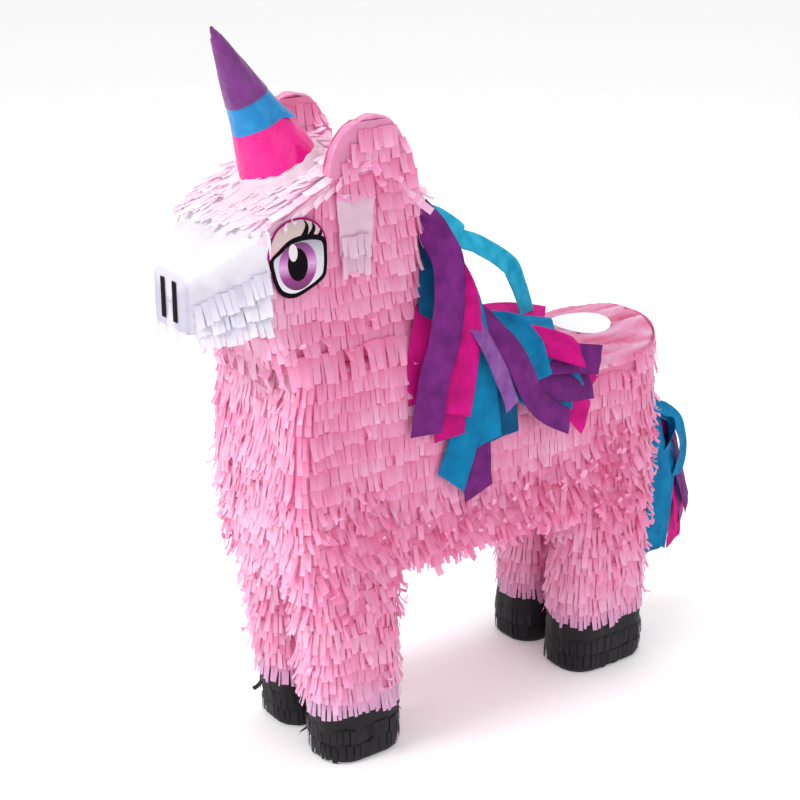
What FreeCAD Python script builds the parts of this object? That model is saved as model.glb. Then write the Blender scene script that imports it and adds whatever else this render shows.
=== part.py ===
import FreeCAD, Part

import math
import os
from types import SimpleNamespace

import Sketcher

# A standing unicorn pinata: a corrugated card box body on four card tubes, dressed in cut tissue.
# Each piece is drawn in the animal's own frame, in millimetres: X = 0 is its middle plane, with its
# left side at +X, Y = 0 runs through its front legs, with its face towards -Y, and Z = 0 is the floor.
# Its Placement then moves it to the row's frame, whose origin is the middle of the whole base.

os.makedirs("parts", exist_ok=True)
doc = FreeCAD.newDocument("pinata")

DIMENSIONS = [
    ("frame_x", 10.7, "middle of the whole outline, left of the middle plane"),
    ("frame_y", 129.75, "middle of the whole outline, behind the front legs"),
    ("board", 3, "thickness of the corrugated card"),
    ("gap", 0.3, "clearance between a paper skin and the card under it"),
    ("skin", 5.6, "depth of a layer of cut tissue"),
    ("leg_skin", 5.0, "depth of a layer of cut tissue on a leg"),
    ("wrap", 2.4, "depth of the folded white paper on the muzzle"),
    ("half_body", 58, "half the width of the card body"),
    ("belly_z", 157, "underside of the body"),
    ("neck_z", 322, "top of the neck"),
    ("side_z", 272.4, "top edge of the side boards behind the neck"),
    ("chest_low_y", -51, "chest front at the belly"),
    ("chest_high_y", -54, "chest front under the jaw"),
    ("chest_r", 363, "radius of the bowed chest"),
    ("neck_back_y", 44, "back of the neck"),
    ("rump_y", 302, "back of the rump"),
    ("rump_r", 45, "radius of the rump's upright corners"),
    ("arch_r", 127, "radius of the arched back"),
    ("arch_z", 163, "height of the arched back's centre line"),
    ("leg_in", 10, "inner face of a leg, from the middle plane"),
    ("leg_r", 20, "radius of a leg's corners"),
    ("front_leg_y0", -33, "front of a front leg at the floor"),
    ("front_leg_y1", 30, "back of a front leg"),
    ("hind_leg_y0", 208, "front of a hind leg"),
    ("hind_leg_y1", 288, "back of a hind leg"),
    ("hoof_z", 40, "top of the black hoof paper"),
    ("hoof_low_z", 0.6, "bottom of the black hoof paper"),
    ("half_head", 52, "half the width of the card head"),
    ("jaw_z", 325.5, "underside of the head's walls"),
    ("jaw_y", -66, "front of the jaw"),
    ("nape_y", 45, "back of the head"),
    ("nape_z", 438, "top of the back of the head"),
    ("face_y", -86, "plane where the muzzle joins the head"),
    ("face_low_z", 362, "bottom of the muzzle where it joins the head"),
    ("face_high_z", 429, "top of the muzzle where it joins the head"),
    ("brow_y", -10, "top of the sloped forehead"),
    ("brow_z", 468, "height of the top of the forehead"),
    ("poll_y", 14, "back of the flat between the ears"),
    ("ear_foot_y", -31.3, "where an ear's front edge leaves the forehead's slope"),
    ("ear_foot_z", 457.1, "height of the slope there"),
    ("ear_front_y", -20, "front of an ear where its round tip starts"),
    ("ear_back_y", 28, "back of an ear where its round tip starts"),
    ("ear_z", 482, "height of an ear where its round tip starts"),
    ("ear_r", 26, "radius of an ear's tip"),
    ("nose_y", -124, "front of the muzzle card"),
    ("half_nose", 20, "half the width of the nose"),
    ("nose_low_z", 360, "bottom of the nose"),
    ("nose_high_z", 394, "top of the nose"),
    ("horn_y", -34.5, "middle of the horn's base, along the body"),
    ("horn_r", 29, "radius of the horn's base"),
    ("horn_long", 114, "length of the horn card"),
    ("horn_tip_r", 1.8, "radius of the horn card's cut tip"),
    ("horn_point", 3.0, "how far the twisted paper point stands past the card"),
    ("magenta_end", 0.37, "share of the horn where its magenta wrap ends"),
    ("cyan_end", 0.53, "share of the horn where its cyan wrap ends"),
    ("crepe", 1, "thickness of a crepe paper wrap"),
    ("flap_x", 3, "middle of the fill label, across the body"),
    ("flap_y", 248, "middle of the fill label, along the body"),
    ("label_r", 25, "radius of the fill label"),
    ("mouth_x1", 22, "free edge of the fill mouth"),
    ("mouth_half", 19, "half the length of the fill mouth"),
    ("mouth_r", 8, "radius of the fill mouth's corners"),
    ("flap_gap", 0.8, "clearance round the fill flap"),
    ("hang_y", 130, "hanging hole, along the body"),
    ("hang_r", 3, "radius of the hanging hole"),
    ("plate_half", 20, "half the side of the hanging plate"),
    ("plate_z", 285.2, "top of the hanging plate"),
    ("streamer", 24, "width of a crepe streamer"),
    ("mane_x1", 85, "outer side of the mane"),
    ("tail_y0", 317, "hinge line of the tail, behind the rump"),
    ("tail_z0", 238, "height of the tail's hinge line"),
    ("tail_y1", 389.1, "furthest reach of the tail"),
    ("half_tail", 22, "half the width of the tail"),
    ("eye_wide", 46, "width of an eye sticker"),
    ("eye_high", 55, "height of an eye sticker"),
    ("eye_y", -60, "middle of an eye sticker, along the body"),
    ("eye_z", 407, "height of the middle of an eye sticker"),
    ("sticker", 0.5, "thickness of a sticker"),
]

book = doc.addObject("Spreadsheet::Sheet", "Sizes")
for row, (name, number, meaning) in enumerate(DIMENSIONS, start=1):
    book.set(f"A{row}", meaning)
    book.set(f"B{row}", str(number))
    book.setAlias(f"B{row}", name)
doc.recompute()


class Size:
    """A number together with the spreadsheet expression that gives it."""

    def __init__(self, number, text):
        self.number = number
        self.text = text

    def __add__(self, other):
        other = as_size(other)
        return Size(self.number + other.number, f"({self.text} + {other.text})")

    def __sub__(self, other):
        other = as_size(other)
        return Size(self.number - other.number, f"({self.text} - {other.text})")

    def __mul__(self, other):
        other = as_size(other)
        return Size(self.number * other.number, f"({self.text} * {other.text})")

    def __neg__(self):
        return Size(-self.number, f"(0 - {self.text})")


def as_size(value):
    """A Size, whether value already is one or is a plain number."""
    if isinstance(value, Size):
        return value
    return Size(float(value), f"({float(value)})")


d = SimpleNamespace(**{name: Size(float(number), f"Sizes.{name}") for name, number, _ in DIMENSIONS})
TO_ROW = FreeCAD.Vector(-d.frame_x.number, -d.frame_y.number, 0)
made = []


# ---------------------------------------------------------------- sketches and features


def new_sketch(body, plane, offset=0):
    """A sketch on one of the body's own origin planes, moved along that plane's normal."""
    sketch = body.newObject("Sketcher::SketchObject", f"{body.Label}_sketch")
    origin_plane = next(f for f in body.Origin.OriginFeatures if f.Role == plane)
    sketch.AttachmentSupport = [(origin_plane, "")]
    sketch.MapMode = "FlatFace"
    sketch.setExpression("AttachmentOffset.Base.z", as_size(offset).text)
    return sketch


def fix(sketch, kind, first, point, size):
    """Holds one coordinate of a sketch point at a size."""
    if abs(size.number) < 1e-9:
        axis = -2 if kind == "DistanceX" else -1
        sketch.addConstraint(Sketcher.Constraint("PointOnObject", first, point, axis))
        return
    index = sketch.addConstraint(Sketcher.Constraint(kind, -1, 1, first, point, size.number))
    sketch.setExpression(f"Constraints[{index}]", size.text)


def round_edge(start, end, radius):
    """The arc from start to end that bulges right of the way there, or left for a radius below 0."""
    along = end - start
    half = along.Length / 2
    rise = math.sqrt(radius * radius - half * half)
    left = FreeCAD.Vector(-along.y, along.x, 0).normalize()
    centre = (start + end) * 0.5 + left * math.copysign(rise, radius)
    first, last = (start, end) if radius > 0 else (end, start)
    angles = [math.atan2(p.y - centre.y, p.x - centre.x) for p in (first, last)]
    if angles[1] <= angles[0]:
        angles[1] += 2 * math.pi
    circle = Part.Circle(centre, FreeCAD.Vector(0, 0, 1), abs(radius))
    return Part.ArcOfCircle(circle, *angles)


def outline(sketch, corners):
    """A closed loop. A corner is (x, y), or (x, y, radius) where a round edge leaves it."""
    corners = [[as_size(value) for value in corner] for corner in corners]
    points = [FreeCAD.Vector(corner[0].number, corner[1].number, 0) for corner in corners]
    ends = []
    for index, corner in enumerate(corners):
        start, end = points[index], points[(index + 1) % len(points)]
        if len(corner) == 2:
            edge = sketch.addGeometry(Part.LineSegment(start, end))
            ends.append((edge, 1, 2))
        else:
            edge = sketch.addGeometry(round_edge(start, end, corner[2].number))
            ends.append((edge, 1, 2) if corner[2].number > 0 else (edge, 2, 1))
    for index, (edge, first, last) in enumerate(ends):
        after, start, _ = ends[(index + 1) % len(ends)]
        sketch.addConstraint(Sketcher.Constraint("Coincident", edge, last, after, start))
        fix(sketch, "DistanceX", edge, first, corners[index][0])
        fix(sketch, "DistanceY", edge, first, corners[index][1])
        if len(corners[index]) == 3:
            radius = corners[index][2]
            size = radius if radius.number > 0 else -radius
            held = sketch.addConstraint(Sketcher.Constraint("Radius", edge, size.number))
            sketch.setExpression(f"Constraints[{held}]", size.text)


def round_box(x0, x1, y0, y1, r):
    """The corners of a rectangle with rounded corners, anticlockwise."""
    return [
        (x0 + r, y0), (x1 - r, y0, r), (x1, y0 + r), (x1, y1 - r, r),
        (x1 - r, y1), (x0 + r, y1, r), (x0, y1 - r), (x0, y0 + r, r),
    ]


def circle(sketch, x, y, r):
    """A full circle in a sketch."""
    x, y, r = as_size(x), as_size(y), as_size(r)
    centre = FreeCAD.Vector(x.number, y.number, 0)
    edge = sketch.addGeometry(Part.Circle(centre, FreeCAD.Vector(0, 0, 1), r.number))
    fix(sketch, "DistanceX", edge, 3, x)
    fix(sketch, "DistanceY", edge, 3, y)
    held = sketch.addConstraint(Sketcher.Constraint("Radius", edge, r.number))
    sketch.setExpression(f"Constraints[{held}]", r.text)


def new_body(label):
    """An empty body for one piece of the pinata."""
    body = doc.addObject("PartDesign::Body", label)
    body.Label = label
    made.append(body)
    return body


def pad(body, plane, offset, length, *loops):
    """Pads closed loops from the plane at offset, along its normal."""
    sketch = new_sketch(body, plane, offset)
    for corners in loops:
        outline(sketch, corners)
    feature = body.newObject("PartDesign::Pad", f"{body.Label}_pad")
    feature.Profile = sketch
    feature.setExpression("Length", as_size(length).text)
    return feature


def cut_through(body, plane, draw):
    """Cuts right through the body, both ways from its origin plane, along what draw puts in a sketch."""
    doc.recompute()
    before = body.Shape.Volume
    sketch = new_sketch(body, plane)
    draw(sketch)
    feature = body.newObject("PartDesign::Pocket", f"{body.Label}_cut")
    feature.Profile = sketch
    feature.SideType = "Symmetric"
    feature.Type = "ThroughAll"
    doc.recompute()
    if body.Shape.Volume > before - 0.5:
        raise RuntimeError(f"{body.Label}: a cut removed nothing")


def loft(body, kind, plane, sections):
    """Adds or takes away the straight-sided solid between (offset, corners) sections."""
    sketches = []
    for offset, corners in sections:
        sketch = new_sketch(body, plane, offset)
        outline(sketch, corners)
        sketches.append(sketch)
    feature = body.newObject(f"PartDesign::{kind}Loft", f"{body.Label}_{kind.lower()}")
    feature.Profile = sketches[0]
    feature.Sections = sketches[1:]
    feature.Ruled = True


def board(label, plane, offset, *loops, length=None):
    """A flat or bent sheet cut to one outline, as thick as the card unless a length is given."""
    body = new_body(label)
    pad(body, plane, offset, d.board if length is None else length, *loops)
    return body


def side_start(side, inner, thick):
    """Where an upright sheet between |x| = inner and inner + thick starts, on side +1 or -1."""
    return as_size(inner) if side > 0 else -(as_size(inner) + thick)


SIDES = (("left", 1), ("right", -1))


# ---------------------------------------------------------------- body boards


def side_outline():
    """The body's side in Y and Z: bowed chest, neck, a step down to the back and a straight rear."""
    return [
        (d.chest_low_y, d.belly_z),
        (rump_start, d.belly_z),
        (rump_start, d.side_z),
        (d.neck_back_y, d.side_z),
        (d.neck_back_y, d.neck_z),
        (d.chest_high_y, d.neck_z, d.chest_r),
    ]


def rump_plan(x, y, r):
    """The body's plan behind the neck, with two round rear corners."""
    return [
        (-x, d.neck_back_y), (x, d.neck_back_y), (x, y - r, r),
        (x - r, y), (-x + r, y, r), (-x, y - r),
    ]


def outside_arch(r, reach=80):
    """A loop in X and Z that holds everything above an arch of radius r."""
    half = as_size(reach)
    rise = math.sqrt(r.number ** 2 - reach ** 2)
    foot = Size(rise, f"sqrt({r.text} * {r.text} - {reach} * {reach})") + d.arch_z
    return [(half, foot), (half, 400), (-half, 400), (-half, foot, -r)]


def inside_arch(r, reach=80):
    """A loop in X and Z that holds everything below an arch of radius r."""
    half = as_size(reach)
    rise = math.sqrt(r.number ** 2 - reach ** 2)
    foot = Size(rise, f"sqrt({r.text} * {r.text} - {reach} * {reach})") + d.arch_z
    return [(-half, 100), (half, 100), (half, foot, r), (-half, foot)]


def arched(label, plan, low_r, high_r, plan_hole=None):
    """A sheet over the back: its plan, cut to the shell between two arches."""
    body = new_body(label)
    sketch = new_sketch(body, "XY_Plane", 200)
    plan(sketch)
    feature = body.newObject("PartDesign::Pad", f"{label}_pad")
    feature.Profile = sketch
    feature.Length = 120
    cut_through(body, "XZ_Plane", lambda flat: outline(flat, outside_arch(high_r)))
    cut_through(body, "XZ_Plane", lambda flat: outline(flat, inside_arch(low_r)))
    if plan_hole:
        cut_through(body, "XY_Plane", plan_hole)
    return body


rump_start = d.rump_y - d.rump_r
wall_in = d.half_body - d.board
hinge_x = d.flap_x - d.label_r
tissue_r = d.arch_r + d.gap + 2
nose_wrap = 1.7
mouth = round_box(hinge_x, d.mouth_x1, d.flap_y - d.mouth_half, d.flap_y + d.mouth_half, d.mouth_r)


def build_body():
    """The card box of the torso and neck, and the hanging plate inside it."""
    for word, side in SIDES:
        board(f"side_board_{word}", "YZ_Plane", side_start(side, wall_in, d.board), side_outline())
    board("chest_board", "YZ_Plane", -wall_in, chest_strip(0, d.board), length=wall_in * 2)
    rump = new_body("rump_board")
    inner_r = d.rump_r - d.board
    pad(
        rump, "XY_Plane", d.belly_z, 140,
        rump_band(0, d.board, d.rump_r, inner_r),
    )
    cut_through(rump, "XZ_Plane", lambda flat: outline(flat, outside_arch(d.arch_r - d.board - d.gap)))
    board(
        "belly_board", "XY_Plane", d.belly_z,
        [
            (-wall_in, d.chest_low_y + 4), (wall_in, d.chest_low_y + 4),
            (wall_in, d.rump_y - d.rump_r, inner_r), (wall_in - inner_r, d.rump_y - d.board),
            (-wall_in + inner_r, d.rump_y - d.board, inner_r), (-wall_in, d.rump_y - d.rump_r),
        ],
    )
    board(
        "neck_rear_board", "XZ_Plane", -d.neck_back_y,
        [(-wall_in, 262), (wall_in, 262), (wall_in, d.neck_z), (-wall_in, d.neck_z)],
    )

    def holes(sketch):
        outline(sketch, mouth)
        circle(sketch, 0, d.hang_y, d.hang_r)

    arched(
        "back_board", lambda sketch: outline(sketch, rump_plan(d.half_body, d.rump_y, d.rump_r)),
        d.arch_r - d.board, d.arch_r, holes,
    )
    plate = board(
        "hanging_plate", "XY_Plane", d.plate_z - d.board,
        [
            (-d.plate_half, d.hang_y - d.plate_half), (d.plate_half, d.hang_y - d.plate_half),
            (d.plate_half, d.hang_y + d.plate_half), (-d.plate_half, d.hang_y + d.plate_half),
        ],
    )
    cut_through(plate, "XY_Plane", lambda sketch: circle(sketch, 0, d.hang_y, d.hang_r))


def chest_strip(near, far):
    """The bowed chest in Y and Z, from near to far behind its front surface."""
    return [
        (d.chest_low_y + near, d.belly_z),
        (d.chest_low_y + far, d.belly_z, -(d.chest_r - far)),
        (d.chest_high_y + far, d.neck_z),
        (d.chest_high_y + near, d.neck_z, d.chest_r - near),
    ]


def rump_band(near, far, outer_r, inner_r):
    """The rump's wall in plan, between two offsets inside the card's outer surface."""
    x_out, x_in = d.half_body - near, d.half_body - far
    y_out, y_in = d.rump_y - near, d.rump_y - far
    return [
        (x_in, rump_start), (x_out, rump_start, outer_r),
        (x_out - outer_r, y_out), (-x_out + outer_r, y_out, outer_r),
        (-x_out, rump_start), (-x_in, rump_start, -inner_r),
        (-x_in + inner_r, y_in), (x_in - inner_r, y_in, -inner_r),
    ]


# ---------------------------------------------------------------- legs and hooves


def leg_plan(side, y0, y1, grow):
    """A leg's plan at one height, grown outwards all round."""
    near, far = d.leg_in - grow, d.half_body + grow
    x0, x1 = (near, far) if side > 0 else (-far, -near)
    return round_box(x0, x1, y0 - grow, y1 + grow, d.leg_r + grow)


def leg_sleeve(label, side, front, low_z, high_z, outer, inner):
    """A rounded tube round one leg, between two heights and two offsets from the leg's own surface."""
    body = new_body(label)
    y1 = d.front_leg_y1 if front else d.hind_leg_y1
    low_z, high_z = as_size(low_z), as_size(high_z)

    def front_y(z):
        """The front of the leg at a height: a front leg leans from its hoof to the chest."""
        if not front:
            return d.hind_leg_y0
        return d.front_leg_y0 + (d.chest_low_y - d.front_leg_y0) * (z.number / d.belly_z.number)

    def sections(grow, low, high):
        return [(z, leg_plan(side, front_y(z), y1, as_size(grow))) for z in (low, high)]

    loft(body, "Additive", "XY_Plane", sections(outer, low_z, high_z))
    doc.recompute()
    before = body.Shape.Volume
    loft(body, "Subtractive", "XY_Plane", sections(inner, low_z, high_z))
    doc.recompute()
    if body.Shape.Volume > 0.9 * before:
        raise RuntimeError(f"{label}: the sleeve is not hollow")


def build_legs():
    """Four card tubes, each with a sole, a black hoof wrap and a pink leg wrap."""
    for place, front in (("front", True), ("hind", False)):
        for word, side in SIDES:
            name = f"{place}_{word}"
            y0 = d.front_leg_y0 if front else d.hind_leg_y0
            y1 = d.front_leg_y1 if front else d.hind_leg_y1
            board(f"hoof_sole_{name}", "XY_Plane", 0, leg_plan(side, y0, y1, as_size(0)))
            leg_sleeve(f"leg_tube_{name}", side, front, d.board, d.belly_z, 0, -d.board)
            top = d.belly_z - d.gap
            leg_sleeve(f"leg_fringe_{name}", side, front, d.hoof_z, top, d.leg_skin, d.gap)
            leg_sleeve(f"hoof_fringe_{name}", side, front, d.hoof_low_z, d.hoof_z - d.gap, d.skin, d.gap)


# ---------------------------------------------------------------- head


def head_outline():
    """The head's side in Y and Z, with the ear as a round-tipped lobe on its upper edge."""
    return [
        (d.jaw_y, d.jaw_z),
        (d.nape_y, d.jaw_z),
        (d.nape_y, d.nape_z),
        (d.ear_back_y + 10, d.nape_z + 26),
        (d.ear_back_y, d.ear_z, d.ear_r),
        (d.ear_front_y, d.ear_z + 2),
        (d.ear_foot_y + 1.5, d.ear_z - 12),
        (d.ear_foot_y, d.ear_foot_z),
        (d.face_y, d.face_high_z),
        (d.face_y, d.face_low_z),
    ]


def crown_strip(low, high):
    """The top of the head in Y and Z: forehead, flat and fall to the nape, between two heights above it."""
    top = [
        (d.face_y, d.face_high_z), (d.brow_y, d.brow_z),
        (d.poll_y, d.brow_z), (d.nape_y - d.board, d.nape_z),
    ]
    return [(y, z + low) for y, z in top] + [(y, z + high) for y, z in reversed(top)]


def chin_strip(near, far, share=1):
    """The chin in Y and Z, from the jaw a share of the way up to the muzzle, between two offsets."""
    top_y = d.jaw_y + (d.face_y - d.jaw_y) * share
    top_z = d.jaw_z + (d.face_low_z - d.jaw_z) * share
    return [
        (d.jaw_y - near, d.jaw_z), (top_y - near, top_z),
        (top_y - far, top_z), (d.jaw_y - far, d.jaw_z),
    ]


def muzzle_section(y, grow, back):
    """The muzzle's outline in X and Z at the head, or at the nose, grown outwards all round."""
    half = (d.half_head if back else d.half_nose) + grow
    low = (d.face_low_z if back else d.nose_low_z) - grow
    high = (d.face_high_z if back else d.nose_high_z) + grow
    return (-as_size(y), [(-half, low), (half, low), (half, high), (-half, high)])


def build_head():
    """The card box of the head, with its ears, and the tapered muzzle on its front."""
    inner = d.half_head - d.board
    for word, side in SIDES:
        board(f"head_board_{word}", "YZ_Plane", side_start(side, inner, d.board), head_outline())
    board(
        "jaw_board", "XY_Plane", d.neck_z + d.gap,
        [(-wall_in, d.chest_high_y), (wall_in, d.chest_high_y),
         (wall_in, d.nape_y), (-wall_in, d.nape_y)],
        length=d.board - d.gap,
    )
    sloped = d.board * 1.12
    board("crown_board", "YZ_Plane", -inner, crown_strip(-sloped, 0), length=inner * 2)
    board("chin_board", "YZ_Plane", -inner, chin_strip(-sloped, 0), length=inner * 2)
    board(
        "nape_board", "XZ_Plane", -d.nape_y,
        [(-inner, d.jaw_z), (inner, d.jaw_z),
         (inner, d.nape_z - sloped - 0.5), (-inner, d.nape_z - sloped - 0.5)],
    )
    card = 2
    shell = new_body("muzzle_shell")
    loft(shell, "Additive", "XZ_Plane",
         [muzzle_section(d.face_y, 0, True), muzzle_section(d.nose_y, 0, False)])
    loft(shell, "Subtractive", "XZ_Plane",
         [muzzle_section(d.face_y, -card, True), muzzle_section(d.nose_y, -card, False)])
    board("nose_plate", "XZ_Plane", -d.nose_y,
          [(-d.half_nose, d.nose_low_z), (d.half_nose, d.nose_low_z),
           (d.half_nose, d.nose_high_z), (-d.half_nose, d.nose_high_z)])


# ---------------------------------------------------------------- horn


def horn_ring(label, start, end, near, far, point=False):
    """A conical ring square on the forehead, from start to end as shares of the horn card's length."""

    def radius(share):
        return d.horn_r + (d.horn_tip_r - d.horn_r) * share

    body = new_body(label)
    sketch = new_sketch(body, "XZ_Plane")
    low, high = d.horn_long * start, d.horn_long * end
    corners = [(radius(start) + near, low), (radius(start) + far, low), (radius(end) + far, high)]
    if point:
        tip = high + d.horn_point
        corners += [(0.5, tip), (0, tip), (0, high + d.gap)]
        corners += [(radius(end) + near, high + d.gap)]
    else:
        corners += [(radius(end) + near, high)]
    outline(sketch, corners)
    feature = body.newObject("PartDesign::Revolution", f"{label}_turn")
    feature.Profile = sketch
    feature.ReferenceAxis = (sketch, ["V_Axis"])
    feature.Angle = 360
    rise = d.brow_z.number - d.face_high_z.number
    run = d.brow_y.number - d.face_y.number
    foot_z = d.face_high_z.number + (d.horn_y.number - d.face_y.number) * rise / run
    body.Placement = FreeCAD.Placement(
        FreeCAD.Vector(0, d.horn_y.number, foot_z + d.gap.number),
        FreeCAD.Rotation(FreeCAD.Vector(1, 0, 0), math.degrees(math.atan2(rise, run))),
    )


def build_horn():
    """A card cone with three crepe wraps; the last one is twisted to a point."""
    wrap = d.gap + d.crepe
    horn_ring("horn_cone", 0, 1, -(d.board * 0.5), 0)
    horn_ring("horn_wrap_magenta", 0.05, d.magenta_end, d.gap, wrap)
    horn_ring("horn_wrap_cyan", d.magenta_end, d.cyan_end, d.gap, wrap)
    horn_ring("horn_wrap_purple", d.cyan_end, 1, d.gap, wrap, point=True)


# ---------------------------------------------------------------- fill flap


def build_flap():
    """The flap cut from the back, with its own tissue and the round label that holds it shut."""
    half = d.mouth_half - d.flap_gap
    plan = round_box(
        hinge_x + d.flap_gap, d.mouth_x1 - d.flap_gap, d.flap_y - half, d.flap_y + half,
        d.mouth_r - d.flap_gap,
    )
    arched("fill_flap", lambda flat: outline(flat, plan), d.arch_r - d.board, d.arch_r)
    arched("flap_tissue", lambda flat: outline(flat, plan), d.arch_r + d.gap, tissue_r)
    label_in = tissue_r + d.gap
    arched(
        "fill_label", lambda flat: circle(flat, d.flap_x, d.flap_y, d.label_r),
        label_in, label_in + d.sticker,
    )


# ---------------------------------------------------------------- tissue and stickers


def build_body_tissue():
    """The cut tissue over the torso and neck, and the flat tissue over the back."""
    depth = d.skin - d.gap
    for word, side in SIDES:
        start = side_start(side, d.half_body + d.gap, depth)
        board(f"torso_fringe_{word}", "YZ_Plane", start, side_outline(), length=depth)
    strip = chest_strip(-d.skin, -d.gap)
    board("chest_fringe", "YZ_Plane", -d.half_body, strip, length=d.half_body * 2)
    rump = new_body("rump_fringe")
    band = rump_band(-d.skin, -d.gap, d.rump_r + d.skin, d.rump_r + d.gap)
    pad(rump, "XY_Plane", d.belly_z, 140, band)
    cut_through(rump, "XZ_Plane", lambda flat: outline(flat, outside_arch(d.arch_r)))
    foot = d.arch_z + tissue_r + d.gap
    x, top = d.half_body, d.neck_z
    board(
        "neck_fringe", "XZ_Plane", -(d.neck_back_y + d.skin),
        [(-x, foot), (x, foot), (x, top), (-x, top)], length=depth,
    )

    def holes(sketch):
        outline(sketch, mouth)
        circle(sketch, 0, d.hang_y, d.hang_r + 2)

    arched(
        "back_tissue", lambda flat: outline(flat, rump_plan(d.half_body, d.rump_y, d.rump_r)),
        d.arch_r + d.gap, tissue_r, holes,
    )


def build_head_tissue():
    """The cut tissue over the head and the smooth white paper over the muzzle."""
    inner = d.half_head - d.board - d.gap
    depth = d.skin - d.gap
    for word, side in SIDES:
        start = side_start(side, d.half_head + d.gap, depth)
        board(f"head_fringe_{word}", "YZ_Plane", start, head_outline(), length=depth)
    strip = crown_strip(d.gap * 1.5, d.skin)
    crown = board("crown_fringe", "YZ_Plane", -inner, strip, length=inner * 2)
    cut_through(crown, "XY_Plane", lambda flat: circle(flat, 0, d.horn_y - 1.5, d.horn_r + 4))
    board("chin_fringe", "YZ_Plane", -inner, chin_strip(d.gap, d.skin, 0.88), length=inner * 2)
    board(
        "nape_fringe", "XZ_Plane", -(d.nape_y + d.skin),
        [(-d.half_head, d.jaw_z), (d.half_head, d.jaw_z),
         (d.half_head, d.nape_z - 6), (-d.half_head, d.nape_z - 6)],
        length=depth,
    )
    paper = new_body("muzzle_paper")
    card_front = d.nose_y - d.board
    front = card_front - d.gap
    loft(paper, "Additive", "XZ_Plane",
         [muzzle_section(d.face_y - d.gap, d.wrap, True), muzzle_section(front - nose_wrap, d.wrap, False)])
    loft(paper, "Subtractive", "XZ_Plane",
         [muzzle_section(d.face_y + d.gap, 0.5, True), muzzle_section(front, 0.5, False)])


def oval(y, z, wide, high, r):
    """A pointed oval in Y and Z, from four round edges."""
    half_wide, half_high = wide * 0.5, high * 0.5
    return [
        (y - half_wide, z, r), (y, z - half_high, r), (y + half_wide, z, r), (y, z + half_high, r),
    ]


def build_stickers():
    """The eye stickers, the two nostril strips and the thin white patch on the left cheek."""
    surface = d.half_head + d.skin + d.gap
    eyes = new_body("eye_stickers")
    for _, side in SIDES:
        pad(
            eyes, "YZ_Plane", side_start(side, surface, d.sticker), d.sticker,
            oval(d.eye_y, d.eye_z, d.eye_wide, d.eye_high, 28),
        )
    nose_front = d.nose_y - d.board - d.gap - nose_wrap
    low, high = d.nose_low_z + 4, d.nose_high_z - 1
    strips = [
        [(x - 2.5, low), (x + 2.5, low), (x + 2.5, high), (x - 2.5, high)]
        for x in (as_size(-8), as_size(8))
    ]
    board("nostril_strips", "XZ_Plane", -nose_front + 0.1, *strips, length=d.sticker)
    board(
        "cheek_patch", "YZ_Plane", surface,
        [(-29, 396), (3, 372), (3, 443), (-29, 448)], length=d.sticker,
    )


# ---------------------------------------------------------------- mane and tail


def build_mane():
    """The crepe streamers of the mane as plain bunches: roots, fall, spread over the back and arch."""
    behind = d.nape_y + d.skin + d.gap
    board(
        "mane_root_bunch", "XZ_Plane", -(behind + 8),
        [(-14, 330), (50, 330), (46, 432), (-10, 432)], length=8,
    )
    flank = d.half_body + d.skin + d.gap
    fall = [
        (58, 222), (84, 203), (125, 222), (182, 239), (212, 281), (190, 300), (110, 314),
        (52, 326), (38, 310), (28, 267), (50, 259),
    ]
    board("mane_left_fall", "YZ_Plane", flank, fall, length=d.mane_x1 - flank)
    over = d.arch_z + tissue_r + d.gap
    board(
        "mane_back_spread", "XY_Plane", over,
        [(12, 66), (flank - d.gap, 66), (flank - d.gap, 190), (44, 206), (12, 206)], length=18,
    )
    arch = [
        (behind + 8.5, 404), (86, 408), (105, 403), (119, 395), (145, 370), (185, 348), (199, 316),
    ]
    under = [(as_size(y) - 1, as_size(z) - 1.4) for y, z in reversed(arch)]
    board("mane_arch_strip", "YZ_Plane", -(d.streamer + 4), arch + under, length=d.streamer)


def build_tail():
    """The tail's streamers, hinged at their roots, and the paper tie that holds them to the rump."""
    rump = d.rump_y + d.skin + d.gap
    board("tail_tie", "YZ_Plane", -9,
          [(rump, 226), (d.tail_y0 - 0.6, 226), (d.tail_y0 - 0.6, 240), (rump, 240)], length=18)
    fan = [
        (d.tail_y0 + 0.2, d.tail_z0 - 0.5), (326, 236), (347, 212), (376, 166),
        (d.tail_y1, 100), (381, 72), (364, 54), (345, 49), (331, 84), (d.tail_y0 + 3, 190),
        (d.tail_y0 + 0.2, 226),
    ]
    board("tail_streamers", "YZ_Plane", -d.half_tail, fan, length=d.half_tail * 2)


# ---------------------------------------------------------------- build order


def row_frame():
    """Moves every finished piece from the animal's frame to the row's."""
    for body in made:
        body.Placement = FreeCAD.Placement(TO_ROW, FreeCAD.Rotation()).multiply(body.Placement)
    doc.recompute()


def export():
    """Checks every object and writes each piece to its own file."""
    for thing in doc.Objects:
        if "Invalid" in thing.State or "Error" in thing.State:
            raise RuntimeError(f"{thing.Label}: {thing.State}")
    for body in made:
        if body.Shape.isNull() or not body.Shape.isValid() or not body.Shape.Solids:
            raise RuntimeError(f"{body.Label} has no valid solid")
    for body in made:
        body.Shape.exportStep(f"parts/{body.Label}.step")
    box = FreeCAD.BoundBox()
    for body in made:
        box.add(body.Shape.BoundBox)
    print(len(made), "pieces in", box)


doc.recompute()
build_body()
build_legs()
build_head()
build_horn()
build_flap()
build_body_tissue()
build_head_tissue()
build_stickers()
build_mane()
build_tail()
doc.recompute()
row_frame()
export()
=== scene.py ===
import math
from functools import partial

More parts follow.
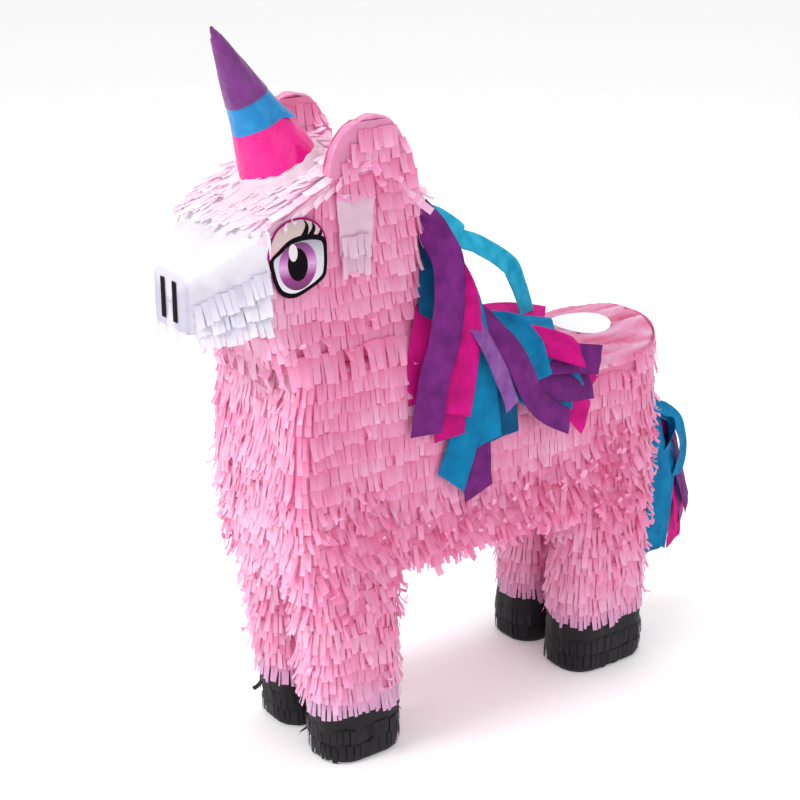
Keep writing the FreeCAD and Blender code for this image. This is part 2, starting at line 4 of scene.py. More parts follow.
import bpy
import numpy as np
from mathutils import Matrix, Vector


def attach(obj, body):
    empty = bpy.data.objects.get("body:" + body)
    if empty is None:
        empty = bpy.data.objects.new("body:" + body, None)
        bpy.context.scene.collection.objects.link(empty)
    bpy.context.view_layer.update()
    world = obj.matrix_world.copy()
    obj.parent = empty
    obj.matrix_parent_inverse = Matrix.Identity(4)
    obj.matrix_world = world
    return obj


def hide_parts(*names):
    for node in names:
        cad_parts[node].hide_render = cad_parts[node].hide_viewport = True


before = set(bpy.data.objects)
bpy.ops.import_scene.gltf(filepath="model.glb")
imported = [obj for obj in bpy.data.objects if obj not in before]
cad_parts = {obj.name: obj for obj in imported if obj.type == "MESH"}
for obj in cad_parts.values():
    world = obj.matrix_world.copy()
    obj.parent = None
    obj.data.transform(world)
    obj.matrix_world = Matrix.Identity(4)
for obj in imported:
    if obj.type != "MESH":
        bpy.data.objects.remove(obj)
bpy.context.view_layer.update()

# Points are written in millimetres in the animal's own frame: X = 0 is its middle plane, its left side
# is +X, it faces -Y, and Z = 0 is the floor. to_row() moves them to the row's frame, in metres.
ORIGIN = np.array([10.7, 129.75, 0.0])

HALF_BODY = 58.0
HALF_HEAD = 52.0
BELLY_Z = 157.0
NECK_Z = 322.0
RUMP_Y = 302.0
ARCH_Z = 163.0
ARCH_R = 129.4
FACE_Y = -86.0
NOSE_Y = -128.6
EYE_Y = -60.0
EYE_Z = 407.0
STREAMER = 24.0
RUMP_ROUND = 45.0
CORNER_ROUND = 6.0
LEG_ROUND = 20.0
NECK_BACK = 44.0
BACK_EDGE_Z = 275.0
BROW_Z = 437.0
EAR_OUTER = 55.5
EAR_INNER = 45.5
DOWN = (0, 0, -1)
SIDES = (("left", 1), ("right", -1))


def to_row(points):
    """Animal-frame millimetres to row-frame metres."""
    return (np.asarray(points, float) - ORIGIN) / 1000.0


# ---------------------------------------------------------------- small tools


def unit(vectors):
    """Each row scaled to length one."""
    vectors = np.asarray(vectors, float)
    return vectors / np.maximum(np.linalg.norm(vectors, axis=-1, keepdims=True), 1e-9)


def smoothstep(low, high, value):
    """0 below low, 1 above high, smooth between them."""
    t = np.clip((np.asarray(value, float) - low) / (high - low), 0, 1)
    return t * t * (3 - 2 * t)


def waves(rng, points, size, count=10):
    """Smooth noise at each point, about -1 to 1, with features of roughly the given size."""
    points = np.asarray(points, float)
    total = np.zeros(len(points))
    for _ in range(count):
        direction = unit(rng.normal(size=points.shape[1])) * rng.uniform(0.6, 1.6) * 2 * math.pi / size
        total += np.sin(points @ direction + rng.uniform(0, 2 * math.pi))
    return total / math.sqrt(count)


def drift(rng, count, span):
    """A random series whose neighbours agree over about span items."""
    raw = rng.normal(size=count + 2 * span)
    kernel = np.hanning(2 * span + 1)[1:-1]
    soft = np.convolve(raw, kernel / math.sqrt((kernel ** 2).sum()), mode="same")
    return soft[span:span + count]


def at(places, along, values):
    """Vectors known at some distances, read at others."""
    return np.stack([np.interp(places, along, values[:, k]) for k in range(values.shape[1])], axis=1)


def resample(path, count, closed=False):
    """The polyline at count evenly spaced points."""
    path = np.asarray(path, float)
    if closed:
        path = np.vstack([path, path[:1]])
    steps = np.linalg.norm(np.diff(path, axis=0), axis=1)
    along = np.concatenate([[0], np.cumsum(steps)])
    wanted = np.linspace(0, along[-1], count, endpoint=not closed)
    return at(wanted, along, path)


def rounded(corners, closed=True):
    """Points along a polygon whose corners (a, b, radius) are rounded off."""
    points = []
    total = len(corners)
    for i, (a, b, radius) in enumerate(corners):
        here = np.array([a, b], float)
        if radius <= 0 or (not closed and i in (0, total - 1)):
            points.append(here)
            continue
        before = np.array(corners[i - 1][:2], float)
        after = np.array(corners[(i + 1) % total][:2], float)
        to_before, to_after = unit(before - here), unit(after - here)
        half = math.acos(np.clip(to_before @ to_after, -1, 1)) / 2
        reach = radius / math.tan(half)
        centre = here + unit(to_before + to_after) * radius / math.sin(half)
        start, end = here + to_before * reach - centre, here + to_after * reach - centre
        turn = math.pi - 2 * half
        for t in np.linspace(0, 1, 9):
            mix = start * math.sin((1 - t) * turn) + end * math.sin(t * turn)
            points.append(centre + mix / math.sin(turn))
    return np.array(points)


def curve_through(points, step=2.5):
    """A smooth curve through the control points, sampled every step millimetres."""
    points = np.asarray(points, float)
    ends = np.vstack([2 * points[0] - points[1], points, 2 * points[-1] - points[-2]])
    dense = []
    for i in range(1, len(ends) - 2):
        p0, p1, p2, p3 = ends[i - 1:i + 3]
        square, cube = 2 * p0 - 5 * p1 + 4 * p2 - p3, 3 * p1 - p0 - 3 * p2 + p3
        for t in np.linspace(0, 1, 24, endpoint=False):
            dense.append(0.5 * (2 * p1 + (p2 - p0) * t + square * t ** 2 + cube * t ** 3))
    dense.append(ends[-2])
    dense = np.array(dense)
    length = np.linalg.norm(np.diff(dense, axis=0), axis=1).sum()
    return resample(dense, max(int(length / step), 4) + 1)


def grid_quads(rows, columns, closed=False, start=0):
    """Quads joining a grid of points stored row by row."""
    last = columns if closed else columns - 1
    i, j = np.meshgrid(np.arange(rows - 1), np.arange(last), indexing="ij")
    i, j = i.ravel(), j.ravel()
    k = (j + 1) % columns
    here, below = start + i * columns, start + (i + 1) * columns
    return np.stack([here + j, here + k, below + k, below + j], axis=1)


def same(vector, count):
    """The vector repeated in count rows."""
    return np.tile(vector, (count, 1))


def link(thing):
    """Adds an object to the scene."""
    bpy.context.scene.collection.objects.link(thing)
    return thing


def build(name, points, quads, material, tint_and_shade):
    """A mesh object from points in animal-frame millimetres, with three colour values for each point: a tone,
    a value that sets painted shade and painted highlight, and a lilac share.
    """
    mesh = bpy.data.meshes.new(name)
    quads = np.asarray(quads, np.int32)
    mesh.vertices.add(len(points))
    mesh.vertices.foreach_set("co", to_row(points).astype(np.float32).ravel())
    mesh.loops.add(quads.size)
    mesh.loops.foreach_set("vertex_index", quads.ravel())
    mesh.polygons.add(len(quads))
    mesh.polygons.foreach_set("loop_start", np.arange(0, quads.size, 4, dtype=np.int32))
    mesh.polygons.foreach_set("use_smooth", np.ones(len(quads), bool))
    mesh.materials.append(material)
    layer = mesh.attributes.new("tint_and_shade", "FLOAT_COLOR", "POINT")
    colours = np.ones((len(points), 4), np.float32)
    colours[:, :3] = tint_and_shade
    layer.data.foreach_set("color", colours.ravel())
    mesh.update(calc_edges=True)
    mesh.validate()
    return link(bpy.data.objects.new(name, mesh))


def add_cloth(piece, across, along, third):
    """Gives a crepe piece its own coordinates at each point, which its wrinkles follow."""
    layer = piece.data.attributes.new("cloth", "FLOAT_VECTOR", "POINT")
    layer.data.foreach_set("vector", np.column_stack([across, along, third]).astype(np.float32).ravel())


def finish_piece(piece, body, slot_name, *nodes):
    """Rides the piece on its body and hides the CAD nodes that it stands for. slot_name is not used."""
    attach(piece, body)
    if nodes:
        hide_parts(*nodes)
    return piece


# ---------------------------------------------------------------- materials


def srgb(red, green, blue):
    """A colour given as 0 to 255, as the linear values that shaders take."""
    channels = [((c / 255 + 0.055) / 1.055) ** 2.4 if c > 10 else c / 255 / 12.92 for c in (red, green, blue)]
    return (*channels, 1.0)


def grey(level):
    """A grey in linear values."""
    return (level, level, level, 1.0)


class Nodes:
    """A material's node tree, with short ways to add and join nodes."""

    def __init__(self, name):
        self.material = bpy.data.materials.new(name)
        self.material.use_nodes = True
        self.tree = self.material.node_tree
        self.shader = self.tree.nodes["Principled BSDF"]
        self.output = self.tree.nodes["Material Output"]

    def add(self, kind, **settings):
        node = self.tree.nodes.new(kind)
        for key, value in settings.items():
            setattr(node, key, value)
        return node

    def join(self, source, target):
        self.tree.links.new(source, target)

    def place(self, scale=(1, 1, 1)):
        """Object coordinates in metres, times scale."""
        coordinates = self.add("ShaderNodeTexCoord")
        mapping = self.add("ShaderNodeMapping")
        mapping.inputs["Scale"].default_value = scale
        self.join(coordinates.outputs["Object"], mapping.inputs["Vector"])
        return mapping.outputs["Vector"]

    def noise(self, size, detail=3.0, stretch=(1, 1, 1)):
        """Noise whose features are about size metres."""
        node = self.add("ShaderNodeTexNoise")
        node.inputs["Scale"].default_value = 1 / size
        node.inputs["Detail"].default_value = detail
        self.join(self.place(stretch), node.inputs["Vector"])
        return node.outputs["Fac"]

    def ramp(self, source, stops):
        """Colours at positions along a ramp."""
        node = self.add("ShaderNodeValToRGB")
        while len(node.color_ramp.elements) < len(stops):
            node.color_ramp.elements.new(0.5)
        for element, (position, colour) in zip(node.color_ramp.elements, stops):
            element.position = position
            element.color = colour
        self.join(source, node.inputs["Fac"])
        return node.outputs["Color"]

    def mix(self, factor, first, second, kind="MIX"):
        """Two colours mixed by a factor. Each is a socket or a value."""
        node = self.add("ShaderNodeMix", data_type="RGBA", blend_type=kind)
        for socket, value in ((node.inputs[0], factor), (node.inputs[6], first), (node.inputs[7], second)):
            if isinstance(value, bpy.types.NodeSocket):
                self.join(value, socket)
            else:
                socket.default_value = value
        return node.outputs[2]

    def channel(self, name):
        """The three channels of a colour attribute on the mesh."""
        attribute = self.add("ShaderNodeAttribute", attribute_name=name)
        split = self.add("ShaderNodeSeparateColor")
        self.join(attribute.outputs["Color"], split.inputs["Color"])
        return split.outputs

    def bump(self, height, distance, strength=1.0, after=None):
        """A bump normal from a height, in metres."""
        node = self.add("ShaderNodeBump")
        node.inputs["Strength"].default_value = strength
        node.inputs["Distance"].default_value = distance
        self.join(height, node.inputs["Height"])
        if after is not None:
            self.join(after, node.inputs["Normal"])
        return node.outputs["Normal"]

    def finish(self, colour, rough, gloss=None):
        """The shader's colour, roughness and specular level."""
        self.join(colour, self.shader.inputs["Base Color"])
        self.shader.inputs["Roughness"].default_value = rough
        if gloss is not None:
            self.shader.inputs["Specular IOR Level"].default_value = gloss

    def thin(self, colour, share):
        """Lets light through the sheet, as thin paper does."""
        through = self.add("ShaderNodeBsdfTranslucent")
        blend = self.add("ShaderNodeMixShader")
        blend.inputs["Fac"].default_value = share
        self.join(colour, through.inputs["Color"])
        self.join(self.shader.outputs["BSDF"], blend.inputs[1])
        self.join(through.outputs["BSDF"], blend.inputs[2])
        self.join(blend.outputs["Shader"], self.output.inputs["Surface"])


def tissue(name, deep, middle, light, cool, through=0.3, rough=0.34, gloss=0.8):
    """Cut tissue: each tab has its own tone, painted shade darkens its root under the row above, a painted
    highlight makes its tip paler, and fine creases run through it.
    """
    n = Nodes(name)
    tone, tip, lilac = n.channel("tint_and_shade")[:3]
    body = n.ramp(tone, [(0.0, deep), (0.5, middle), (1.0, light)])
    # Painted shade and painted highlight: the second value darkens the tab's root towards the deep colour and
    # makes its tip paler. On the back it shades the crease valleys.
    body = n.mix(tip, n.mix(0.45, body, deep, "MULTIPLY"), n.mix(0.24, body, light))
    body = n.mix(lilac, body, cool)
    fine = n.noise(0.0035, 4.0)
    wide = n.noise(0.03, 2.0)
    mottled = n.mix(0.16, body, n.ramp(wide, [(0.3, deep), (0.7, light)]), "SOFT_LIGHT")
    n.finish(mottled, rough, gloss)
    n.shader.inputs["Sheen Weight"].default_value = 0.15
    n.shader.inputs["Sheen Roughness"].default_value = 0.4
    n.join(n.bump(fine, 0.0005, 0.6), n.shader.inputs["Normal"])
    n.thin(mottled, through)
    return n.material


def crepe(name, dark, bright, through=0.22, rough=0.6, wrinkle_shade=0.4, gloss=0.16):
    """Crepe streamer paper: fine wrinkles across its length, a mottled, slightly glossy colour, and painted
    shade along the wrinkles and on strips that lie under others.
    """
    n = Nodes(name)
    tone, wrinkle_shade, _ = n.channel("tint_and_shade")[:3]
    wrinkle = n.add("ShaderNodeTexNoise")
    wrinkle.inputs["Scale"].default_value = 1.0
    wrinkle.inputs["Detail"].default_value = 4.0
    n.join(n.add("ShaderNodeAttribute", attribute_name="cloth").outputs["Vector"], wrinkle.inputs["Vector"])
    mottle = n.noise(0.012, 4.0)
    colour = n.ramp(mottle, [(0.25, dark), (0.75, bright)])
    # The first value darkens the paper: random clouds on the horn's wraps, and painted shade on streamers
    # that lie under or behind others.
    colour = n.mix(tone, n.mix(0.6, colour, dark), colour)
    # Painted shade along the wrinkles: the colour is darkened where the wrinkle noise that drives the bump is
    # low, weighted by the second value.
    lines = n.ramp(wrinkle.outputs["Fac"], [(0.35, grey(0.55)), (0.65, grey(1))])
    colour = n.mix(wrinkle_shade, colour, lines, "MULTIPLY")
    n.finish(colour, rough, gloss)
    folds = n.bump(n.noise(0.014, 3.0), 0.003, 0.9) if gloss > 0.3 else None
    n.join(n.bump(wrinkle.outputs["Fac"], 0.0006, 0.8, folds), n.shader.inputs["Normal"])
    n.thin(colour, through)
    return n.material


def paper(name, low, high, size=0.02, rough=0.6, bump=0.0006, gloss=0.3):
    """Plain paper with faint clouds of tone and soft creases."""
    n = Nodes(name)
    n.finish(n.ramp(n.noise(size, 4.0), [(0.3, low), (0.7, high)]), rough, gloss)
    creases = n.bump(n.noise(size * 0.6, 5.0), bump, 0.7)
    n.join(n.bump(n.noise(0.0012, 2.0), 0.0001, 0.5, creases), n.shader.inputs["Normal"])
    return n.material


def kraft(name):
    """Brown corrugated card: flutes show as faint stripes, with fibres and flecks."""
    n = Nodes(name)
    base = n.ramp(n.noise(0.004, 5.0, (1, 1, 0.3)), [(0.3, srgb(158, 120, 80)), (0.7, srgb(190, 152, 108))])
    stripes = n.add("ShaderNodeTexWave", wave_type="BANDS", bands_direction="Z")
    stripes.inputs["Scale"].default_value = 40.0
    stripes.inputs["Distortion"].default_value = 0.6
    n.join(n.place(), stripes.inputs["Vector"])
    shades = n.ramp(stripes.outputs["Fac"], [(0, grey(0.4)), (1, grey(1))])
    n.finish(n.mix(0.12, base, shades, "MULTIPLY"), 0.85)
    n.join(n.bump(stripes.outputs["Fac"], 0.0004, 0.5), n.shader.inputs["Normal"])
    return n.material


PINK = tissue(
    "pink_tissue", srgb(231, 92, 154), srgb(249, 151, 200), srgb(255, 212, 238), srgb(214, 186, 228)
)
PALE = tissue(
    "pale_tissue", srgb(246, 158, 206), srgb(253, 204, 232), srgb(255, 236, 248), srgb(255, 246, 252)
)
WHITE = tissue(
    "white_tissue", srgb(190, 184, 208), srgb(226, 223, 236), srgb(245, 245, 249), srgb(250, 224, 240),
    through=0.2,
)
PATCH = tissue(
    "patch_tissue", srgb(214, 172, 200), srgb(234, 200, 221), srgb(248, 228, 240), srgb(236, 212, 230)
)
BLACK = tissue(
    "black_tissue", srgb(12, 11, 13), srgb(22, 20, 24), srgb(46, 42, 50), srgb(28, 26, 34), through=0.04,
    rough=0.62, gloss=0.3,
)
MAGENTA = crepe("magenta_crepe", srgb(188, 2, 116), srgb(238, 12, 154))
CYAN = crepe("cyan_crepe", srgb(0, 116, 172), srgb(0, 150, 202))
# A paler copy of the cyan crepe: painted light that stands in for light shining through the arch strip from
# behind.
ARCH_CYAN = crepe("backlit_cyan_crepe", srgb(24, 182, 216), srgb(84, 216, 238), through=0.5)
# A darker copy of the cyan crepe: painted shade for cyan strips that lie in shadow behind others.
SHADED_CYAN = crepe("shaded_cyan_crepe", srgb(4, 74, 122), srgb(6, 104, 152))
PURPLE = crepe("purple_crepe", srgb(100, 26, 108), srgb(138, 46, 144))
LAVENDER = crepe("light_purple_crepe", srgb(124, 66, 150), srgb(168, 108, 190))
HORN_FINISH = (0.1, 0.3, 0.15, 0.5)
HORN_CYAN = crepe("horn_cyan_crepe", srgb(0, 118, 186), srgb(0, 148, 212), *HORN_FINISH)
HORN_MAGENTA = crepe("horn_magenta_crepe", srgb(236, 0, 138), srgb(250, 16, 152), *HORN_FINISH)
HORN_PURPLE = crepe("horn_purple_crepe", srgb(104, 30, 112), srgb(134, 48, 142), *HORN_FINISH)
LABEL = paper("label_white", srgb(238, 237, 240), srgb(250, 250, 252), 0.05, 0.3, 0.0001, 0.5)
CARD = kraft("kraft_card")
NOSTRIL = paper("nostril_black", srgb(10, 9, 11), srgb(20, 18, 22), 0.01, 0.7, 0.0002, 0.08)
BLACK_PLAIN = paper("hoof_black", srgb(16, 15, 17), srgb(34, 31, 36), 0.02, 0.6, 0.0004)
PINK_PLAIN = paper("belly_pink", srgb(214, 96, 150), srgb(240, 150, 192), 0.03, 0.6, 0.0006)
TIE = paper("tie_cyan", srgb(0, 96, 150), srgb(4, 128, 184), 0.01, 0.5, 0.0004)
CREPES = {
    "magenta": (MAGENTA, "magenta_crepe"),
    "cyan": (CYAN, "cyan_crepe"),
    "arch": (ARCH_CYAN, "cyan_crepe"),
    "teal": (SHADED_CYAN, "cyan_crepe"),
    "purple": (PURPLE, "purple_crepe"),
    "lilac": (LAVENDER, "purple_crepe"),
}


# ---------------------------------------------------------------- cut tissue


# A look's settings. Lengths are in millimetres and angles in degrees; _sd is how much a setting varies.
# stray and double are shares of the tabs: those that stick out, and those with a second tab behind.
KEYS = (
    "wide", "long", "lift", "lift_sd", "curl", "curl_sd", "lean_sd", "twist_sd", "stray", "tone", "lilac",
    "double",
)
COLUMN = {key: i for i, key in enumerate(KEYS)}
LOOKS = {
    "neat": (4.4, 15, 6, 2.2, 13, 9, 1.6, 4, 0.03, 0.50, 0.0, 0.0),
    "head": (5.2, 15.5, 7, 3, 20, 14, 2.5, 7, 0.05, 0.50, 0.0, 0.0),
    "shag": (3.8, 17.5, 8, 4, 14, 14, 4.5, 10, 0.06, 0.84, 0.0, 0.3),
    "crumple": (4.8, 15.5, 9, 8, 22, 58, 15, 34, 0.2, 0.50, 0.0, 0.4),
    "leg": (4.2, 15.5, 6, 3, 12, 14, 3, 10, 0.05, 0.55, 0.0, 0.1),
    "leg_low": (3.6, 16, 5, 3, 6, 10, 3, 8, 0.02, 0.6, 0.45, 0.1),
    "pale": (4.4, 18, 3, 2, 5, 7, 7, 6, 0.02, 0.97, 0.6, 0.5),
    "white": (5.2, 15, 5, 2.5, 10, 10, 4, 7, 0.0, 0.48, 0.0, 0.0),
    "hoof": (5.0, 13, 3, 2, -22, 8, 2, 6, 0.02, 0.45, 0.0, 0.0),
}
# How far the flat tissue stands off the card, and how far out a tab reaches before it is held back.
SKIN = 2.7
REACH = 6.0


def look(name, **changes):
    """A named look as an array of its settings, some of them changed."""
    settings = dict(zip(KEYS, LOOKS[name])) | changes
    return np.array([settings[key] for key in KEYS], float)


def steady(name, **changes):
    """A look that is the same everywhere."""
    return lambda points, out: same(look(name, **changes), len(points))


def mix_looks(first, second, share):
    """Looks between two others, one for each share."""
    share = np.asarray(share, float)[:, None]
    return first * (1 - share) + second * share


class Tabs:
    """Every tab of one piece of cut tissue, and the flat tissue under them."""

    FIELDS = (
        "root", "along", "out", "down", "wide", "long", "lift", "curl", "lean", "twist", "cup", "tone",
        "lilac",
    )

    def __init__(self, seed):
        self.rng = np.random.default_rng(seed)
        self.parts = {field: [] for field in self.FIELDS}
        self.sheets = []

    def row(self, path, out, down, look_at, raise_by=0.0, keep=None, second=False):
        """One strip of tabs along a path.

        look_at(points, out) gives each point's look, and keep(points) says where there are tabs. A second
        strip has only its look's share of them.
        """
        rng = self.rng
        path, out, down = (np.asarray(x, float) for x in (path, out, down))
        steps = np.linalg.norm(np.diff(path, axis=0), axis=1)
        along = np.concatenate([[0], np.cumsum(steps)])
        if along[-1] < 3:
            return
        fine = np.linspace(0, along[-1], max(int(along[-1]), 4))
        wide = look_at(at(fine, along, path), unit(at(fine, along, out)))[:, COLUMN["wide"]]
        tally = np.concatenate([[0], np.cumsum(np.diff(fine) / ((wide[1:] + wide[:-1]) / 2))])
        count = max(int(round(tally[-1])), 1)
        cuts = np.arange(count + 1.0)
        cuts[1:-1] += rng.normal(0, 0.18, count - 1)
        cuts = np.interp(cuts * tally[-1] / count, tally, fine)
        middle, width = (cuts[1:] + cuts[:-1]) / 2, np.diff(cuts)
        root = at(middle, along, path)
        outward, downward = unit(at(middle, along, out)), unit(at(middle, along, down))
        downward = unit(downward - outward * (downward * outward).sum(1, keepdims=True))
        settings = dict(zip(KEYS, look_at(root, outward).T))
        stray = rng.random(count) < settings["stray"]
        clump, sway, shade = drift(rng, count, 5), drift(rng, count, 7), drift(rng, count, 9)
        lift = settings["lift"] + settings["lift_sd"] * (0.6 * clump + 0.7 * rng.normal(size=count))
        curl = settings["curl"] + settings["curl_sd"] * (0.4 * clump + 0.9 * rng.normal(size=count))
        lift = np.where(stray, lift + rng.uniform(15, 45, count), np.maximum(lift, 1.5))
        curl = np.where(stray, curl + rng.uniform(30, 130, count), curl)
        spread = 1 + 1.5 * stray
        uneven = 0.045 + 0.09 * (settings["lean_sd"] > 6)
        proud = raise_by + rng.uniform(0, 0.5, (count, 1))
        values = {
            "root": root + outward * proud - downward * rng.normal(0, 0.5, (count, 1)),
            "along": np.cross(downward, outward),
            "out": outward,
            "down": downward,
            "wide": width * rng.uniform(0.93, 1.04, count),
            "long": settings["long"] * (1 + rng.normal(0, uneven, count) + 0.04 * clump),
            "lift": lift,
            "curl": curl,
            "lean": settings["lean_sd"] * spread * (0.6 * sway + 0.7 * rng.normal(size=count)),
            "twist": settings["twist_sd"] * spread * rng.normal(size=count),
            "cup": rng.normal(0.05, 0.06, count),
            # Stray tabs, which stick out, are made paler: a painted highlight.
            "tone": settings["tone"] + 0.09 * rng.normal(size=count) + 0.09 * shade + 0.12 * stray,
            "lilac": np.clip(settings["lilac"] + 0.08 * rng.normal(size=count), 0, 1),
        }
        values["tone"] = np.clip(values["tone"], 0, 1)
        values["lilac"] *= settings["lilac"] > 0.01
        hold = rng.random(count) < settings["double"] if second else np.ones(count, bool)
        if keep is not None:
            for share in (0.5, 0.9):
                hold &= keep(root + downward * settings["long"][:, None] * share)
        for field in self.FIELDS:
            self.parts[field].append(values[field][hold])

    def sheet(self, rings, tone=0.25, closed=False, lilac=0.0):
        """The flat tissue under the tabs, joining rings of points."""
        self.sheets.append((np.asarray(rings, float), tone, closed, lilac))

    def piece(self, name, material, steps=6):
        """The mesh of all the tabs and the flat tissue."""
        f = {field: np.concatenate(values) for field, values in self.parts.items() if values}
        points, quads, tint_and_shade, start = [], [], [], 0
        for rings, tone, closed, lilac in self.sheets:
            rows, columns = rings.shape[:2]
            quads.append(grid_quads(rows, columns, closed, start))
            points.append(rings.reshape(-1, 3))
            shade = np.tile([0.0, 0.6, lilac], (rows * columns, 1))
            shade[:, 0] = tone
            tint_and_shade.append(shade)
            start += rows * columns
        if f:
            count = len(f["wide"])
            radians = {k: np.radians(f[k])[:, None] for k in ("lift", "curl", "lean", "twist")}
            centre = f["root"].copy()
            rows, shades = [], []
            for step in range(steps + 1):
                s = step / steps
                angle = radians["lift"] + radians["curl"] * s ** 1.6
                lean = radians["lean"] * (0.3 + 0.7 * s)
                level = np.cos(lean) * f["down"] + np.sin(lean) * f["along"]
                ahead = np.cos(angle) * level + np.sin(angle) * f["out"]
                side = unit(np.cos(lean) * f["along"] - np.sin(lean) * f["down"])
                front = np.cross(side, ahead)
                turn = radians["twist"] * s
                across = np.cos(turn) * side + np.sin(turn) * front
                face = np.cross(across, ahead)
                half = (f["wide"] * (0.5 - 0.04 * s))[:, None]
                bulge = (f["cup"] * f["wide"])[:, None] * s
                edge = across * half
                rows.append(np.stack([centre - edge, centre - face * bulge, centre + edge], axis=1))
                # The second value: painted shade at the tab's root, rising to a paler painted tip.
                tip = np.full(count, 0.15 + 0.85 * s ** 0.7)
                shades.append(np.stack([f["tone"], tip, f["lilac"]], axis=1))
                centre = centre + ahead * (f["long"] / steps)[:, None]
            strip = np.stack(rows, axis=1)
            root, outward = f["root"][:, None, None, :], f["out"][:, None, None, :]
            lift_off = ((strip - root) * outward).sum(-1, keepdims=True)
            over = np.maximum(lift_off - REACH, 0)
            strip = strip + outward * (np.maximum(-0.3 - lift_off, 0) - 0.62 * over)
            strip[..., 2] = np.maximum(strip[..., 2], 0.35)
            size = (steps + 1) * 3
            one = grid_quads(steps + 1, 3)
            quads.append((start + np.arange(count)[:, None, None] * size + one[None]).reshape(-1, 4))
            points.append(strip.reshape(-1, 3))
            tint_and_shade.append(np.repeat(np.stack(shades, axis=1)[:, :, None, :], 3, axis=2).reshape(-1, 3))
        return build(name, np.concatenate(points), np.concatenate(quads), material, np.concatenate(tint_and_shade))


# ---------------------------------------------------------------- torso and neck


def chest_y(z):
    """The bowed front of the chest and neck."""
    t = (z - BELLY_Z) / (NECK_Z - BELLY_Z)
    return -51 - 3 * t - 38 * t * (1 - t)


RING_POINTS = 420


def plan_ring(xs, ys, radii, z, grow):
    """A ring of points round a rectangle in plan, and its outward directions.

    radii are those of its front and its rear corners, and grow moves the ring outwards.
    """
    (x0, x1), (y0, y1), (fore, rear) = xs, ys, radii
    corners = [(x0, y0, fore), (x1, y0, fore), (x1, y1, rear), (x0, y1, rear)]
    flat = resample(rounded(corners), RING_POINTS, closed=True)
    along = np.roll(flat, -1, axis=0) - np.roll(flat, 1, axis=0)
    out = unit(np.stack([along[:, 1], -along[:, 0]], axis=1))
    ring = np.column_stack([flat + out * grow, np.full(RING_POINTS, z)])
    return ring, np.column_stack([out, np.zeros(RING_POINTS)])


def torso_ring(z, grow=0.0):
    """The body's outline at a height: chest, left side, rump and right side."""
    return plan_ring((-HALF_BODY, HALF_BODY), (chest_y(z), RUMP_Y), (CORNER_ROUND, RUMP_ROUND), z, grow)


def neck_ring(z, grow=0.0):
    """The neck's outline at a height, above the back."""
    return plan_ring((-HALF_BODY, HALF_BODY), (chest_y(z), NECK_BACK), (CORNER_ROUND, CORNER_ROUND), z, grow)


def with_down(ring_at, z):
    """The ring at a height, with its outward and downhill directions."""
    ring, out = ring_at(z)
    return ring, out, unit(ring_at(z - 2)[0] - ring)


def torso_parts(points, out):
    """Which piece each point of the body belongs to: 0 chest, 1 left, 2 rump, 3 right, 4 neck rear."""
    part = np.where(points[:, 0] > 0, 1, 3)
    part[out[:, 1] < -0.7] = 0
    part[points[:, 1] > RUMP_Y - RUMP_ROUND] = 2
    part[(out[:, 1] > 0.7) & (points[:, 1] < 60)] = 4
    return part


def runs(mask):
    """The index runs where a closed ring's mask holds, each as an array in order."""
    if mask.all():
        return [np.arange(len(mask))]
    first = int(np.argmin(mask))
    order = (np.arange(len(mask)) + first) % len(mask)
    held = mask[order]
    edges = np.flatnonzero(np.diff(np.concatenate([[0], held.astype(int), [0]])))
    return [order[a:b] for a, b in zip(edges[::2], edges[1::2])]


def overlapped(run):
    """A run of a ring's points with one more at each end, so that neighbouring pieces meet."""
    return np.concatenate([[run[0] - 1], run, [run[-1] + 1]]) % RING_POINTS


def torso_look(points, out):
    """Shaggy on the chest, neat on the neck, crumpled low on the flanks and flat under the mane."""
    x, y, z = points.T
    shag = smoothstep(0.35, 0.85, -out[:, 1]) * (0.35 + 0.65 * smoothstep(60, 34, np.abs(x)))
    looks = mix_looks(look("neat"), look("crumple"), smoothstep(250, 215, z))
    looks = mix_looks(looks, look("shag"), shag)
    looks[:, COLUMN["tone"]] -= 0.08 * (smoothstep(60, 200, y) * (1 - shag))
    under_mane = smoothstep(8, 22, y) * smoothstep(222, 208, y) * smoothstep(205, 222, z) * (x > 40)
    return mix_looks(looks, look("neat", lift=3, lift_sd=1, curl=4, curl_sd=3, stray=0), under_mane)


def wavy(rng, ring, size, height):
    """The ring with its height wandering a little, as hand-glued strips do."""
    moved = ring.copy()
    moved[:, 2] += waves(rng, ring, size) * height
    return moved


